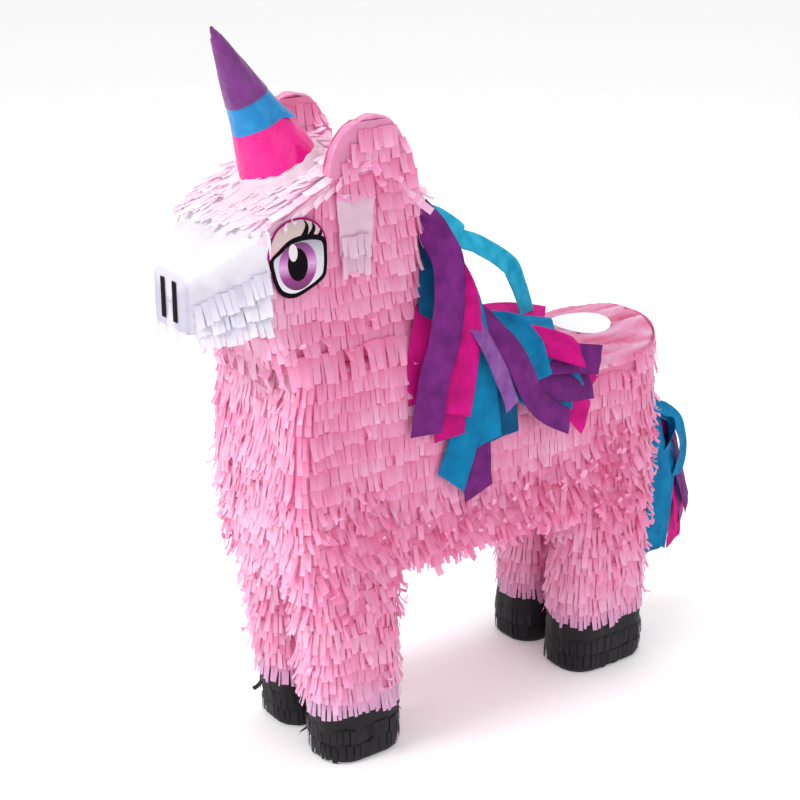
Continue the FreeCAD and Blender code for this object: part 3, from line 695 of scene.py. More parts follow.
def make_torso():
    """The rows of cut tissue on the chest, sides, rump and neck."""
    names = ["chest_fringe", "torso_fringe_left", "rump_fringe", "torso_fringe_right", "neck_fringe"]
    pieces = [Tabs(11 + i) for i in range(5)]
    rng = np.random.default_rng(5)
    low_rings = [torso_ring(z) for z in np.linspace(152, BACK_EDGE_Z, 8)]
    high_rings = [neck_ring(z) for z in np.linspace(BACK_EDGE_Z, NECK_Z, 4)]
    high_rings += [neck_ring(z, grow) for z, grow in ((323.6, -0.6), (325.2, -2.4), (326, -9.5))]
    for rings in (low_rings, high_rings):
        part = torso_parts(*rings[0])
        for i, tabs in enumerate(pieces):
            for run in runs(part == i):
                run = np.append(run, (run[-1] + 1) % RING_POINTS)
                if i != 4 or rings is high_rings:
                    tabs.sheet([ring[run] + out[run] * SKIN for ring, out in rings])
    rows = [(torso_ring, z) for z in np.arange(163.5, 277, 12.9)]
    rows += [(neck_ring, z) for z in (280, 292.5, 305, 318)]
    for ring_at, z in rows:
        ring, out, down = with_down(ring_at, z)
        part = torso_parts(ring, out)
        ring = wavy(rng, ring, 70, 1.3)
        for i, tabs in enumerate(pieces):
            for run in runs(part == i):
                run = overlapped(run)
                tabs.row(ring[run], out[run], down[run], torso_look, SKIN + 0.3)
                tabs.row(ring[run] + [0, 0, -5.5], out[run], down[run], torso_look, SKIN + 0.2, second=True)
    make_rump_rim(pieces[2])
    for name, tabs in zip(names, pieces):
        finish_piece(tabs.piece(name + "_cut", PINK), "body", "pink_tissue", name)


def make_rump_rim(tabs):
    """The tissue between the rump's top row and the arched back."""
    ring, out = torso_ring(BACK_EDGE_Z)
    rim = overlapped(runs(torso_parts(ring, out) == 2)[0])
    ring, out = ring[rim], out[rim]
    edge = back_z(np.clip(ring[:, 0], -HALF_BODY, HALF_BODY))

    def level(z, above):
        """The rim at a height, or at the arch's edge where that is lower."""
        return np.column_stack([ring[:, :2], np.minimum(z, edge + above)])

    tabs.sheet([level(z, 1.0) + out * SKIN for z in (275, 279, 283, 287, 293)])
    for z in (279.5, 293):
        tabs.row(level(z, -0.5), out, same(DOWN, len(rim)), torso_look, SKIN + 0.3)


# ---------------------------------------------------------------- legs and hooves


def leg_ring(side, front, z, grow=0.0):
    """One leg's outline at a height. A front leg's front leans forward as it rises."""
    xs = (10, HALF_BODY) if side > 0 else (-HALF_BODY, -10)
    ys = (-33 - 18 * z / BELLY_Z, 30) if front else (208, 288)
    return plan_ring(xs, ys, (LEG_ROUND, LEG_ROUND), z, grow)


def leg_look(points, out):
    """Long and shaggy in front, crumpled at the sides, thin and lilac near the hoof."""
    z = points[:, 2]
    looks = mix_looks(look("leg"), look("crumple"), smoothstep(95, 135, z) * 0.85)
    looks = mix_looks(looks, look("shag"), smoothstep(0.1, 0.8, -out[:, 1]) * 0.7)
    return mix_looks(looks, look("leg_low"), smoothstep(80, 52, z))


# The hoof's black sleeve: heights, and how far it stands off the leg there.
HOOF_SLEEVE = (
    (52, 0.9), (44, 1.6), (36, 2.4), (28, 2.8), (20, 2.9), (12, 2.4), (6, 1.8), (2.6, 1.2), (0.9, 0.2),
    (0.5, -2.5),
)


def make_legs():
    """Four legs of pink tissue and four black hooves."""
    closed = np.append(np.arange(RING_POINTS), 0)
    seed = 40
    for place in ("front", "hind"):
        for word, side in SIDES:
            name = f"{place}_{word}"
            ring_at = partial(leg_ring, side, place == "front")
            seed += 2
            leg, hoof = Tabs(seed), Tabs(seed + 1)
            rng = leg.rng
            leg.sheet([ring_at(z, 1.2)[0] for z in np.linspace(45, 157, 8)], closed=True)
            for z in np.arange(59, 160, 12.4):
                ring, out, down = (each[closed] for each in with_down(ring_at, z))
                ring = wavy(rng, ring, 60, 1.2)
                leg.row(ring, out, down, leg_look, 2.0)
                leg.row(ring + [0, 0, -5.0], out, down, leg_look, 1.7, second=True)
            node = f"leg_fringe_{name}"
            finish_piece(leg.piece(f"{node}_cut", PINK), "body", "pink_tissue", node)
            sleeve = []
            for z, grow in HOOF_SLEEVE:
                ring, out = ring_at(z)
                wrinkle = waves(rng, ring, 16, 12) * 0.5 + waves(rng, ring, 40, 8) * 0.5
                sleeve.append(ring + out * (grow + wrinkle * smoothstep(3, 14, z))[:, None])
            hoof.sheet(sleeve, tone=0.5, closed=True)
            for z, grow in ((30, 2.9), (16.5, 3.0)):
                ring, out = ring_at(z)
                ring = wavy(rng, ring, 50, 1.0)
                down = unit(ring_at(z - 2)[0] - ring)
                hoof.row(ring[closed], out[closed], down[closed], steady("hoof"), grow)
            node = f"hoof_fringe_{name}"
            finish_piece(hoof.piece(f"{node}_cut", BLACK), "body", "black_tissue", node)


# ---------------------------------------------------------------- head


def head_front(z):
    """The front edge of the head's side at a height: chin, face, then forehead slope."""
    return float(np.interp(z, [325.5, 362, 429, 468], [-66, -86, -86, -10]))


# An ear's outline in (y, z), from its front foot over its top to its rear foot.
EAR = [
    (-32, 458), (-30, 470), (-25, 482), (-17, 491), (-6, 497), (5, 499), (17, 496), (26, 488),
    (33, 476), (39, 464), (44, 446),
]


def head_back(z):
    """The rear edge of the head's side at a height: the nape, then the slope up to the crown."""
    return float(np.interp(z, [438, 468], [45, 14]))


def ear_span(z):
    """The front and rear edges of an ear at a height."""
    edge = curve_through(EAR, 1.0)
    top = int(edge[:, 1].argmax())
    front, rear = edge[:top + 1], edge[top:][::-1]
    return float(np.interp(z, front[:, 1], front[:, 0])), float(np.interp(z, rear[:, 1], rear[:, 0]))


def clear_of_eye(points):
    """Where a tab doesn't lie under an eye sticker."""
    y, z = (points[:, 1] - EYE_Y) / 23.0, (points[:, 2] - EYE_Z - 2) / 27.0
    return (y ** 2 + z ** 2 > 0.8) | (np.abs(points[:, 0]) < 40)


def head_look(points, out):
    """Wide tabs on the head's sides, held flat round the eyes and paler towards the face."""
    x, y, z = points.T
    from_eye = np.sqrt(((y - EYE_Y) / 27.0) ** 2 + ((z - EYE_Z - 8) / 36.0) ** 2)
    held = look("head", lift=2, lift_sd=0.6, curl=3, curl_sd=2, stray=0)
    looks = mix_looks(look("head"), held, smoothstep(1.7, 1.0, from_eye))
    looks[:, COLUMN["tone"]] += 0.30 * smoothstep(-50, -84, y)
    patch = smoothstep(-34, -28, y) * smoothstep(8, 3, y) * smoothstep(395, 402, z) * smoothstep(464, 458, z)
    pressed = look("head", lift=1.5, lift_sd=0.2, curl=1, curl_sd=1, stray=0)
    looks = mix_looks(looks, pressed, patch * (x > 40))
    looks[:, COLUMN["stray"]] += 0.10 * smoothstep(355, 335, z)
    looks[:, COLUMN["stray"]] *= smoothstep(24, 12, y)
    lowest = smoothstep(343, 339, z)
    for key, change in (("long", 7), ("lift", 9), ("curl", -24)):
        looks[:, COLUMN[key]] += change * lowest
    return looks


def crown_look(points, out):
    """Nearly white round the horn, pinker towards the ears."""
    back = smoothstep(-25, 15, points[:, 1])
    edge = smoothstep(30, 52, np.abs(points[:, 0]))
    return mix_looks(look("pale"), look("head"), np.maximum(back, edge * 0.6))


def collar_look(points, out):
    """Short pale tabs that stand round the horn's foot, darker with painted shade where they face the rear.
    """
    looks = same(look("pale", long=11, wide=4.5), len(points))
    # Painted shade: tabs that face the rear are darker.
    looks[:, COLUMN["tone"]] = 0.8 - 0.3 * smoothstep(-0.2, 0.7, out[:, 1])
    return looks


def clear_of_horn(points):
    """Where a tab isn't over the horn's foot."""
    return np.hypot(points[:, 0], (points[:, 1] + 38) * 0.95) > 24


def head_row(z):
    """The head's row at a height: left side, nape, right side, with outward directions."""
    x, front, back = HALF_HEAD, head_front(z) + 1, head_back(z)
    corners = [(x, front, 0), (x, back, CORNER_ROUND), (-x, back, CORNER_ROUND), (-x, front, 0)]
    flat = resample(rounded(corners, closed=False), RING_POINTS)
    along = np.gradient(flat, axis=0)
    out = unit(np.stack([along[:, 1], -along[:, 0]], axis=1))
    return np.column_stack([flat, np.full(RING_POINTS, z)]), np.column_stack([out, np.zeros(RING_POINTS)])


def profile_rows(profile, step, half, corner=5, under=False):
    """Rows across the head down a profile in (y, z). Each has its path, outward and downhill directions."""
    count = 160
    long = np.linalg.norm(np.diff(profile, axis=0), axis=1).sum()
    line = resample(profile, max(int(long / step), 2) + 1)
    foot = -corner * 1.6
    corners = [(-half, foot, 0), (-half, 0, corner), (half, 0, corner), (half, foot, 0)]
    section = resample(rounded(corners, closed=False), count)
    turn = unit(np.gradient(section, axis=0))
    for (y, z), (dy, dz) in zip(line, unit(np.gradient(line, axis=0))):
        up = np.array([0, -dz, dy]) if dy > 0 and not under else np.array([0, dz, -dy])
        path = section[:, :1] * [1, 0, 0] + np.array([0, y, z]) + section[:, 1:2] * up
        out = -turn[:, 1:2] * [1, 0, 0] + turn[:, :1] * up
        yield path, unit(out), same([0, dy, dz], count)


def side_row(tabs, x, ys, z, way, look_at, raise_by, keep=None):
    """A level row of tabs on a face at x that looks along +X or -X."""
    path = [(x, y, z) for y in ys]
    tabs.row(path, same((way, 0, 0), len(ys)), same(DOWN, len(ys)), look_at, raise_by, keep)


def make_head():
    """The tissue on the head's sides, nape, crown, chin and ears."""
    left, right, nape, crown, chin = (Tabs(70 + i) for i in range(5))
    sides = ((left, 1), (right, -1))
    rng = np.random.default_rng(77)
    rows = [head_row(z) for z in np.linspace(326.5, BROW_Z, 9)]
    x = rows[0][0][:, 0]
    for tabs, chosen in ((left, x > 46), (nape, np.abs(x) <= 46.5), (right, x < -46)):
        tabs.sheet([ring[chosen] + out[chosen] * SKIN for ring, out in rows])
    for tabs, side in sides:
        brow = []
        for z in np.linspace(BROW_Z, 469, 10):
            ys = np.linspace(head_front(z) - 1, head_back(z), 20)
            brow.append([(side * (HALF_HEAD + SKIN), y, z) for y in ys])
        tabs.sheet(brow)
    for z in np.arange(338, 470, 12.3):
        if z > 440:
            ys = np.linspace(head_front(z) + 3, ear_span(z)[1], 60)
            for tabs, side in sides:
                side_row(tabs, side * HALF_HEAD, ys, z, side, head_look, SKIN + 0.3, clear_of_eye)
            continue
        ring, out = head_row(z)
        ring = wavy(rng, ring, 60, 1.3)
        x = ring[:, 0]
        proud = SKIN + (3.0 if z < 340 else 0.3)
        for tabs, chosen in ((left, x > 46), (nape, np.abs(x) <= 46), (right, x < -46)):
            tabs.row(ring[chosen], out[chosen], same(DOWN, chosen.sum()), head_look, proud, clear_of_eye)
    make_crown(crown)
    chin_slope = np.array([(-86, 361), (-66, 326)], float)
    rows = list(profile_rows(chin_slope, 6, HALF_HEAD + 1, 4, under=True))
    chin.sheet([path + out * 2.2 for path, out, _ in rows])
    for path, out, down in rows[1::2]:
        chin.row(path, out, down, head_look, 2.4)
    for tabs, side in sides:
        make_ear(tabs, side)
    pieces = {
        "head_fringe_left": left, "head_fringe_right": right, "nape_fringe": nape, "crown_fringe": crown,
        "chin_fringe": chin,
    }
    for name, tabs in pieces.items():
        material = PALE if tabs is crown else PINK
        finish_piece(tabs.piece(name + "_cut", material), "body", "pink_tissue", name)


def make_crown(crown):
    """The tissue down both slopes of the crown, and the pale collar round the horn's foot."""
    front_slope = np.array([(8, 470), (-10, 469), (-86, 430)], float)
    rear_slope = np.array([(8, 470), (14, 468), (50.5, 433.5)], float)
    for slope in (front_slope, rear_slope):
        rows = list(profile_rows(slope, 6, HALF_HEAD + 1.5))
        crown.sheet([path + out * 2.0 for path, out, _ in rows], tone=0.75, lilac=0.4)
        for path, out, down in list(profile_rows(slope, 9, HALF_HEAD + 1))[:-1]:
            crown.row(path, out, down, crown_look, 2.3, clear_of_horn)
            crown.row(path + down * 4, out, down, crown_look, 2.6, clear_of_horn, second=True)
    turn = np.linspace(0, 2 * math.pi, 91)
    round_horn = np.cos(turn)[:, None] * [1, 0, 0] + np.sin(turn)[:, None] * HORN_FRONT
    collar = []
    for h, proud in ((-3, 7), (1, 4.6), (5, 3.2), (9, 2.2), (12, 1.5), (13.4, 0.4)):
        ruffle = 0.8 * np.sin(7 * turn + h * 0.4) + 0.5 * np.sin(16 * turn + 1)
        radius = HORN_R * (1 - max(h, 0) / HORN_LONG) + proud + ruffle * min(1, (14 - h) / 8)
        collar.append(HORN_FOOT + HORN_AXIS * h + round_horn * radius[:, None])
    crown.sheet(collar[::-1], tone=0.9, lilac=0.5)
    down = same(-HORN_AXIS, len(turn)) + round_horn * 0.35
    for h, proud in ((13.0, 0.8), (8.0, 2.4)):
        ring = HORN_FOOT + HORN_AXIS * h + round_horn * (HORN_R * (1 - h / HORN_LONG) + proud)
        crown.row(ring, round_horn, down, collar_look)


def make_ear(tabs, side):
    """An ear: tissue folded over its edge as a soft rim, with rows of tabs on both faces."""
    rng = tabs.rng
    edge = curve_through(EAR, 2.0)
    turn = np.linspace(0, 2 * math.pi, 16, endpoint=False)
    rim = []
    for i, ((y, z), (dy, dz)) in enumerate(zip(edge, unit(np.gradient(edge, axis=0)))):
        inward = np.array([0, dz, -dy])
        fat = 1.9 + 0.4 * math.sin(i * 0.7) + rng.normal(0, 0.1)
        centre = np.array([side * 50.8, y, z]) + inward * 1.2
        ring = centre + np.outer(np.cos(turn) * (fat + 2.2), [1, 0, 0]) + np.outer(np.sin(turn) * fat, inward)
        rim.append(ring + rng.normal(0, 0.15, ring.shape))
    tabs.sheet(rim, tone=0.5, closed=True, lilac=0.12)
    face = []
    for z in np.linspace(452, 496, 14):
        front, rear = ear_span(z)
        face.append([(0, y, z) for y in np.linspace(front + 0.4, rear - 0.4, 24)])
    face = np.array(face)
    face[:, :, 0] += side * 0.5 * waves(rng, face.reshape(-1, 3), 13).reshape(face.shape[:2])
    tabs.sheet(face + [side * (EAR_OUTER - 0.2), 0, 0], tone=0.42, lilac=0.15)
    tabs.sheet(face + [side * EAR_INNER, 0, 0])
    ear_look = steady("head", long=15, wide=5.5, lean_sd=6, stray=0.12)
    for z, bare in ((459, 4), (470, 7), (481, 11), (491, 8)):
        front, rear = ear_span(z)
        ys = np.linspace(front + bare, rear + 1, 40)
        side_row(tabs, side * EAR_OUTER, ys, z, side, ear_look, 0.4)
        side_row(tabs, side * EAR_INNER, ys, z, -side, ear_look, 0.4)


# ---------------------------------------------------------------- muzzle


def muzzle_size(y):
    """The muzzle's half width, bottom and top at a distance along it, and how far along that is."""
    share = (y - FACE_Y) / (NOSE_Y - FACE_Y)
    return 54 - 32 * share, 359.5 - 2 * share, 431 - 34.5 * share, share


def muzzle_ring(y, count):
    """The muzzle's outline at a distance along it."""
    half, low, high, share = muzzle_size(y)
    corner = 10 - 4 * share
    fold = corner * 0.6
    flat = rounded([(-half, low, fold), (half, low, fold), (half, high, corner), (-half, high, corner)])
    flat = resample(flat, count, closed=True)
    return np.column_stack([flat[:, 0], np.full(count, y), flat[:, 1]])


def make_muzzle():
    """Creased white tissue over the muzzle, greyed with painted shade on its sides and its nose front, with
    wide white tabs on its sides.
    """
    rng = np.random.default_rng(90)
    tabs = Tabs(91)
    count = 120
    rings = [muzzle_ring(y, count) for y in np.linspace(FACE_Y + 4, NOSE_Y + 1.5, 34)]
    middle = np.array([0, NOSE_Y, 377])
    front = rings[-1]
    for share in (0.97, 0.9, 0.7, 0.45, 0.2, 0.02):
        ring = middle + (front - middle) * [share, 1, share]
        ring[:, 1] = NOSE_Y + 1.5 * (1 - math.sqrt(max(1 - share ** 8, 0))) * (share > 0.9)
        rings.append(ring)
    flat = np.concatenate(rings)
    creases = waves(rng, flat, 34, 8) * 0.9 + waves(rng, flat, 12, 10) * 0.35
    fade = smoothstep(NOSE_Y + 1, NOSE_Y + 12, flat[:, 1])
    out = unit((flat - [0, 0, 378]) * [1, 0, 1])
    beside = smoothstep(0.75, 0.35, out[:, 2]) * (np.abs(out[:, 0]) > 0.3)
    facets = np.abs(waves(rng, flat, 22, 6)) * 1.3 * beside
    flat = flat + out * ((creases + facets - 0.6 * beside) * (0.25 + 0.75 * fade))[:, None]
    painted_nose_shade = smoothstep(NOSE_Y + 3, NOSE_Y + 1, flat[:, 1])
    # Painted shade: the muzzle's sides and the nose front are made greyer than its top.
    tone = np.clip(0.97 - 0.52 * beside - 0.45 * painted_nose_shade + 0.1 * waves(rng, flat, 20) * beside, 0, 1)
    tabs.sheet(flat.reshape(len(rings), count, 3), tone=tone, closed=True)
    ys = np.linspace(FACE_Y + 3, NOSE_Y + 4, 60)
    half, low, high, along = muzzle_size(ys)
    for side in (1, -1):
        normal = unit(np.array([side * 42.6, -32, 0]))
        for share, tilt in ((0.60, -0.10), (0.38, -0.06), (0.17, 0.0)):
            path = np.column_stack([side * (half + 0.4), ys, low + (high - low) * (share + tilt * along)])
            path[:, 2] += 0.3 * drift(rng, len(ys), 9)
            tabs.row(path, same(normal, len(ys)), same([0, 0.3, -1], len(ys)), steady("white"), 0.9)
    path = [(x, NOSE_Y + 2, 361) for x in np.linspace(-20, 20, 30)]
    tabs.row(path, same([0, -1, 0], 30), same([0, 0.3, -1], 30), steady("white"), 0.5)
    finish_piece(tabs.piece("muzzle_paper_folded", WHITE), "body", "white_tissue", "muzzle_paper")


# ---------------------------------------------------------------- horn


HORN_FOOT = np.array([0, -34.5, 455.7])
HORN_LEAN = math.radians(27.2)
HORN_AXIS = np.array([0, -math.sin(HORN_LEAN), math.cos(HORN_LEAN)])
HORN_FRONT = np.array([0, -math.cos(HORN_LEAN), -math.sin(HORN_LEAN)])
HORN_LONG = 117.0
HORN_R = 29.4


def loose_corner(turn):
    """1 at the cyan wrap's loose corner, at the left rear, falling to 0 either side of it."""
    away = np.abs((turn - 5.45 + math.pi) % (2 * math.pi) - math.pi)
    return np.exp(-(away / 0.25) ** 2)


def horn_wrap(colour, seed, low, high, grow, foot, tip=False, flare=0.0):
    """One crepe wrap round the horn's card cone, from low to high along it, with creases.

    foot(turn) is how its lower edge wanders. flare is how far the loose corner stands off. A wrap with a
    tip is twisted to a point. All the wraps share their creases, so that none cuts through another.
    """
    rng = np.random.default_rng(seed)
    around, rows = 96, 44
    turn = np.linspace(0, 2 * math.pi, around, endpoint=False)
    across = np.outer(np.cos(turn), [1, 0, 0]) + np.outer(np.sin(turn), HORN_FRONT)
    edge = low + foot(turn)
    points = []
    for t in np.arange(rows + 1) / rows:
        h = edge * (1 - t) + high * t
        radius = HORN_R * np.maximum(1 - h / HORN_LONG, 0) + 1.2 + grow
        radius = radius + flare * loose_corner(turn) * (1 - t) ** 4
        if tip:
            twisted = 2.6 * np.clip((HORN_LONG + 1.5 - h) / 8, 0.12, 1) + 0.3 * np.sin(3 * turn + h)
            radius = np.where(h > 105, np.maximum(radius * (h < 110), twisted + 0.6), radius)
        swirl = np.sin(turn * 3 + h * 0.09) * 0.3
        spot = np.column_stack([np.cos(turn) * 9, np.sin(turn) * 9, h * 0.3])
        crease = waves(np.random.default_rng(102), spot, 9, 14) * 0.42
        radius = radius + (crease + swirl) * np.clip(radius / 12, 0.15, 1)
        points.append(HORN_FOOT + HORN_AXIS * h[:, None] + across * radius[:, None])
    flat = np.concatenate(points)
    shade = np.zeros((len(flat), 3))
    shade[:, 0] = np.clip(0.75 + 0.25 * waves(rng, flat, 14), 0, 1)
    material = {"magenta": HORN_MAGENTA, "cyan": HORN_CYAN, "purple": HORN_PURPLE}[colour]
    piece = build(f"horn_wrap_{colour}_crepe", flat, grid_quads(rows + 1, around, True), material, shade)
    along = np.repeat(np.linspace(low, high, rows + 1), around) * 0.05
    add_cloth(piece, np.tile(np.cos(turn) * 5, rows + 1), along, np.tile(np.sin(turn) * 5, rows + 1))
    finish_piece(piece, "body", f"{colour}_crepe", f"horn_wrap_{colour}")


def make_horn():
    """Three crepe wraps, each lapped over the one below."""

    def ragged(turn):
        """A foot that dips at the sides, with small tears."""
        return 0.9 * np.sin(2 * turn + 0.6) + 0.5 * np.sin(9 * turn) + 0.4 * np.sin(17 * turn + 1)

    def pointed(turn):
        """A foot with one loose corner."""
        return -6.0 * loose_corner(turn) + 0.5 * np.sin(turn * 2)

    def level(turn):
        """A nearly even foot."""
        return 0.8 * np.sin(turn + 1)

    horn_wrap("magenta", 101, 11.5, 46, 0.4, ragged)
    horn_wrap("cyan", 103, 43, 64, 0.5, pointed, flare=3.5)
    horn_wrap("purple", 105, 61.5, 117.5, 1.0, level, tip=True)


# ---------------------------------------------------------------- streamers


def streamer(name, seed, points, body, facing, nodes, end=0.0, width=STREAMER, tone=1.0, colour=None):
    """A crepe streamer along a curve through its control points.

    facing is the way its face looks, or one for each control point. end slants its cut end, and tone
    darkens it: painted shade for a strip that lies under or behind others. Its colour is the second word of
    its name, unless another is given.
    """
    rng = np.random.default_rng(seed)
    line = curve_through(points, 2.2)
    count = len(line)
    ahead = unit(np.gradient(line, axis=0))
    faces = np.asarray(facing, float)
    if faces.ndim == 1:
        faces = same(faces, len(points))
    face = unit(at(np.linspace(0, 1, count), np.linspace(0, 1, len(faces)), faces))
    across = unit(np.cross(ahead, face))
    face = np.cross(across, ahead)
    columns = 13
    u = np.linspace(-1, 1, columns)
    bow = 0.9 * drift(rng, count, 18)[:, None]
    wander = 0.5 * drift(rng, count, 9)[:, None]
    if body == "body":
        line[:, 0] += 2.5 * smoothstep(55, 66, line[:, 0])
    flat = line[:, None, :] + across[:, None, :] * (u[None, :, None] * width / 2)
    slope = np.linspace(0, 1, count)[:, None] ** 6
    flat = flat + ahead[:, None, :] * (u[None, :, None] * end * slope[:, :, None])
    ripples = bow * (1 - u ** 2) + wander * u
    ripples += 0.25 * np.sin(u * 5 + rng.uniform(0, 6)) * drift(rng, count, 6)[:, None]
    flat = flat + face[:, None, :] * ripples[:, :, None]
    flat = flat + face[:, None, :] * rng.normal(0, 0.05, ripples.shape)[:, :, None]
    verts = flat.reshape(-1, 3)
    length = np.linalg.norm(np.diff(line, axis=0), axis=1).sum()
    shade = np.zeros((len(verts), 3))
    shade[:, 0] = tone
    material, slot_name = CREPES[colour or name.split("_")[1]]
    piece = build(name, verts, grid_quads(count, columns), material, shade)
    along = np.repeat(np.linspace(0, length, count), columns) * 0.10
    add_cloth(piece, np.tile(u * width / 2, count) * 1.4, along, np.full(len(verts), seed))
    shell = piece.modifiers.new("paper", "SOLIDIFY")
    shell.thickness = 0.0003
    finish_piece(piece, body, slot_name, *nodes)


FALL = ("mane_left_fall",)
SPREAD = ("mane_back_spread",)
ROOTS = ("mane_root_bunch",)
ARCH = ("mane_arch_strip",)
OVER_EDGE = [
    (0, 0.2, 1), (0.2, 0, 1), (0.4, 0, 1), (0.8, 0, 0.8), (1, 0, 0.3), (1, -0.1, 0.1), (1, -0.1, 0),
]
UPWARD = (0.15, -0.2, 1)
SIDEWAYS = (1, -0.1, 0.1)
# How a hanging strip faces at its root, just below it, and from there down.
HUNG_FACE = ((0.5, 0.2, 0.9), (1, -0.2, 0.4), (1, -0.3, 0))
HUNG_FACES = {
    "lilac_edge": ((0.8, 0.2, 0.5), (0.9, 0.2, 0.3), (0.95, 0.2, 0.1)),
    "purple_long": ((0.5, 0.2, 0.9), (1, -0.2, 0.4), (1, -0.1, 0.25)),
}
# Strips torn or folded narrower than the roll.
NARROW = {"lilac_edge": 15.0, "purple_long": 20.0, "cyan_arch": 18.0, "cyan_hook": 15.0}
# Strips that hang over the left flank: name, nodes, tone, slant of the cut end, and control points.
# A tone below 1 is painted shade, for strips that lie under or behind others.
HUNG = (
    ("purple_front", ROOTS + FALL, 1.0, 2, [
        (34, 56, 428), (52, 58, 411), (67, 59, 391), (74, 56, 370), (75, 54, 352), (73.5, 51, 329),
        (71, 46, 309), (69.5, 43, 288), (68, 40, 261),
    ]),
    ("magenta_front", FALL, 1.0, -2, [
        (26, 62, 418), (42, 65, 400), (54, 69, 384), (63, 73, 368), (69, 74, 352), (72, 73, 337),
        (73, 70, 316), (72.5, 67, 295), (71, 65, 273),
    ]),
    ("magenta_under", FALL, 0.35, 3, [
        (62, 64, 345), (66, 65, 320), (66, 65, 300), (66, 64, 275), (66, 63, 253),
    ]),
    ("lilac_edge", FALL, 1.0, 0, [
        (60, 72, 362), (69, 78, 347), (75, 85, 332), (78, 95, 312), (78.5, 105, 291), (77.5, 114, 270),
    ]),
    ("purple_long", FALL, 1.0, 3, [
        (58, 76, 358), (67, 86, 345), (72, 98, 331), (74.5, 112, 315), (75, 124, 296), (75, 137, 272),
        (76, 152, 257), (77, 171, 246),
    ]),
    ("cyan_front", FALL, 1.0, 3, [
        (56, 70, 388), (65, 76, 360), (69, 82, 330), (70.5, 86, 311), (71, 90, 291), (70.5, 93, 268),
        (70, 96, 243),
    ]),
    ("cyan_rear", FALL, 0.7, -4, [
        (58, 74, 350), (65, 82, 318), (67, 83, 289), (67.5, 79, 264), (67, 74, 243), (67, 64, 217),
    ]),
    ("teal_under", FALL, 0.8, 2, [
        (60, 84, 345), (66, 92, 322), (68, 99, 301), (68, 109, 280), (67, 113, 259), (67, 115, 243),
    ]),
    ("purple_under", FALL, 0.9, 5, [
        (60, 82, 320), (65, 84, 290), (65.5, 86, 262), (66, 88, 240), (66.5, 89, 222), (67, 91, 202),
    ]),
    ("magenta_back", FALL, 0.1, 3, [
        (58, 52, 356), (63, 46, 344), (64, 41, 326), (64, 40, 306), (64, 41, 287),
    ]),
    ("teal_root", ROOTS, 0.8, 2, [
        (24, 56, 420), (40, 56, 404), (54, 55, 386), (60, 53, 366), (62, 52, 345),
    ]),
    ("magenta_root", ROOTS, 0.4, 2, [
        (20, 60, 420), (34, 60, 402), (48, 60, 384), (58, 59, 364), (62, 57, 345), (63, 55, 325),
    ]),
)
# Strips spread over the back: name, slant of the cut end, facing, and control points.
LAID = (
    ("cyan_on_back", 3, UPWARD, [
        (20, 58, 342), (8, 90, 326), (-6, 130, 311), (-13, 162, 305), (4, 184, 304), (21, 204, 301),
    ]),
    ("magenta_on_back", -3, UPWARD, [
        (12, 58, 350), (-4, 95, 332), (-18, 140, 315), (-25, 176, 308), (-20, 203, 305), (-11, 222, 301),
    ]),
    ("purple_on_back", 2, UPWARD, [
        (0, 58, 345), (-12, 95, 325), (-24, 135, 307), (-30, 168, 301), (-24, 190, 299),
    ]),
    ("cyan_over_edge", 2, OVER_EDGE, [
        (14, 60, 352), (24, 88, 338), (38, 118, 326), (54, 134, 322), (66, 138, 312), (71, 141, 295),
        (72, 144, 282),
    ]),
    ("magenta_wide", 6, (0.7, -0.4, 0.8), [
        (24, 62, 346), (34, 100, 326), (46, 134, 314), (56, 155, 309), (65, 172, 303), (70, 186, 297),
    ]),
    ("purple_swept", -4, (0.85, -0.2, 0.5), [
        (34, 64, 344), (46, 98, 322), (56, 130, 303), (65, 154, 296), (68, 180, 293), (69, 209, 286),
    ]),
    ("purple_low", 3, (1, -0.2, 0.35), [
        (46, 68, 340), (58, 98, 315), (66, 126, 291), (69, 146, 280), (70, 173, 272), (70, 198, 269),
    ]),
    ("magenta_rear", -5, (1, -0.1, 0.3), [
        (48, 72, 330), (60, 110, 302), (66, 145, 285), (67, 166, 279), (67, 186, 273), (67, 202, 263),
    ]),
    ("magenta_low", 6, (1, -0.2, 0.2), [
        (56, 84, 318), (64, 118, 288), (66, 150, 273), (67, 178, 260), (68, 197, 240),
    ]),
    ("cyan_tip_high", 3, (1, -0.2, 0.3), [
        (50, 80, 330), (62, 118, 302), (67, 146, 289), (68, 167, 283), (69, 187, 282),
    ]),
    ("cyan_tip_low", -3, (1, -0.2, 0.2), [
        (56, 88, 316), (65, 118, 290), (67, 144, 272), (67, 166, 264), (68, 184, 263),
    ]),
)
# The strip that stands up in an arch behind the head.
ARCH_ROUTE = [
    (-14, 57, 404), (-15, 84, 406), (-16, 103, 401), (-16, 117, 395), (-16, 132, 384), (-16, 139, 376),
    (-16, 152, 370), (-16, 169, 360), (-16, 183, 350), (-16, 190, 343), (-16, 197, 329), (-16, 204, 312),
    (-16, 208, 297),
]
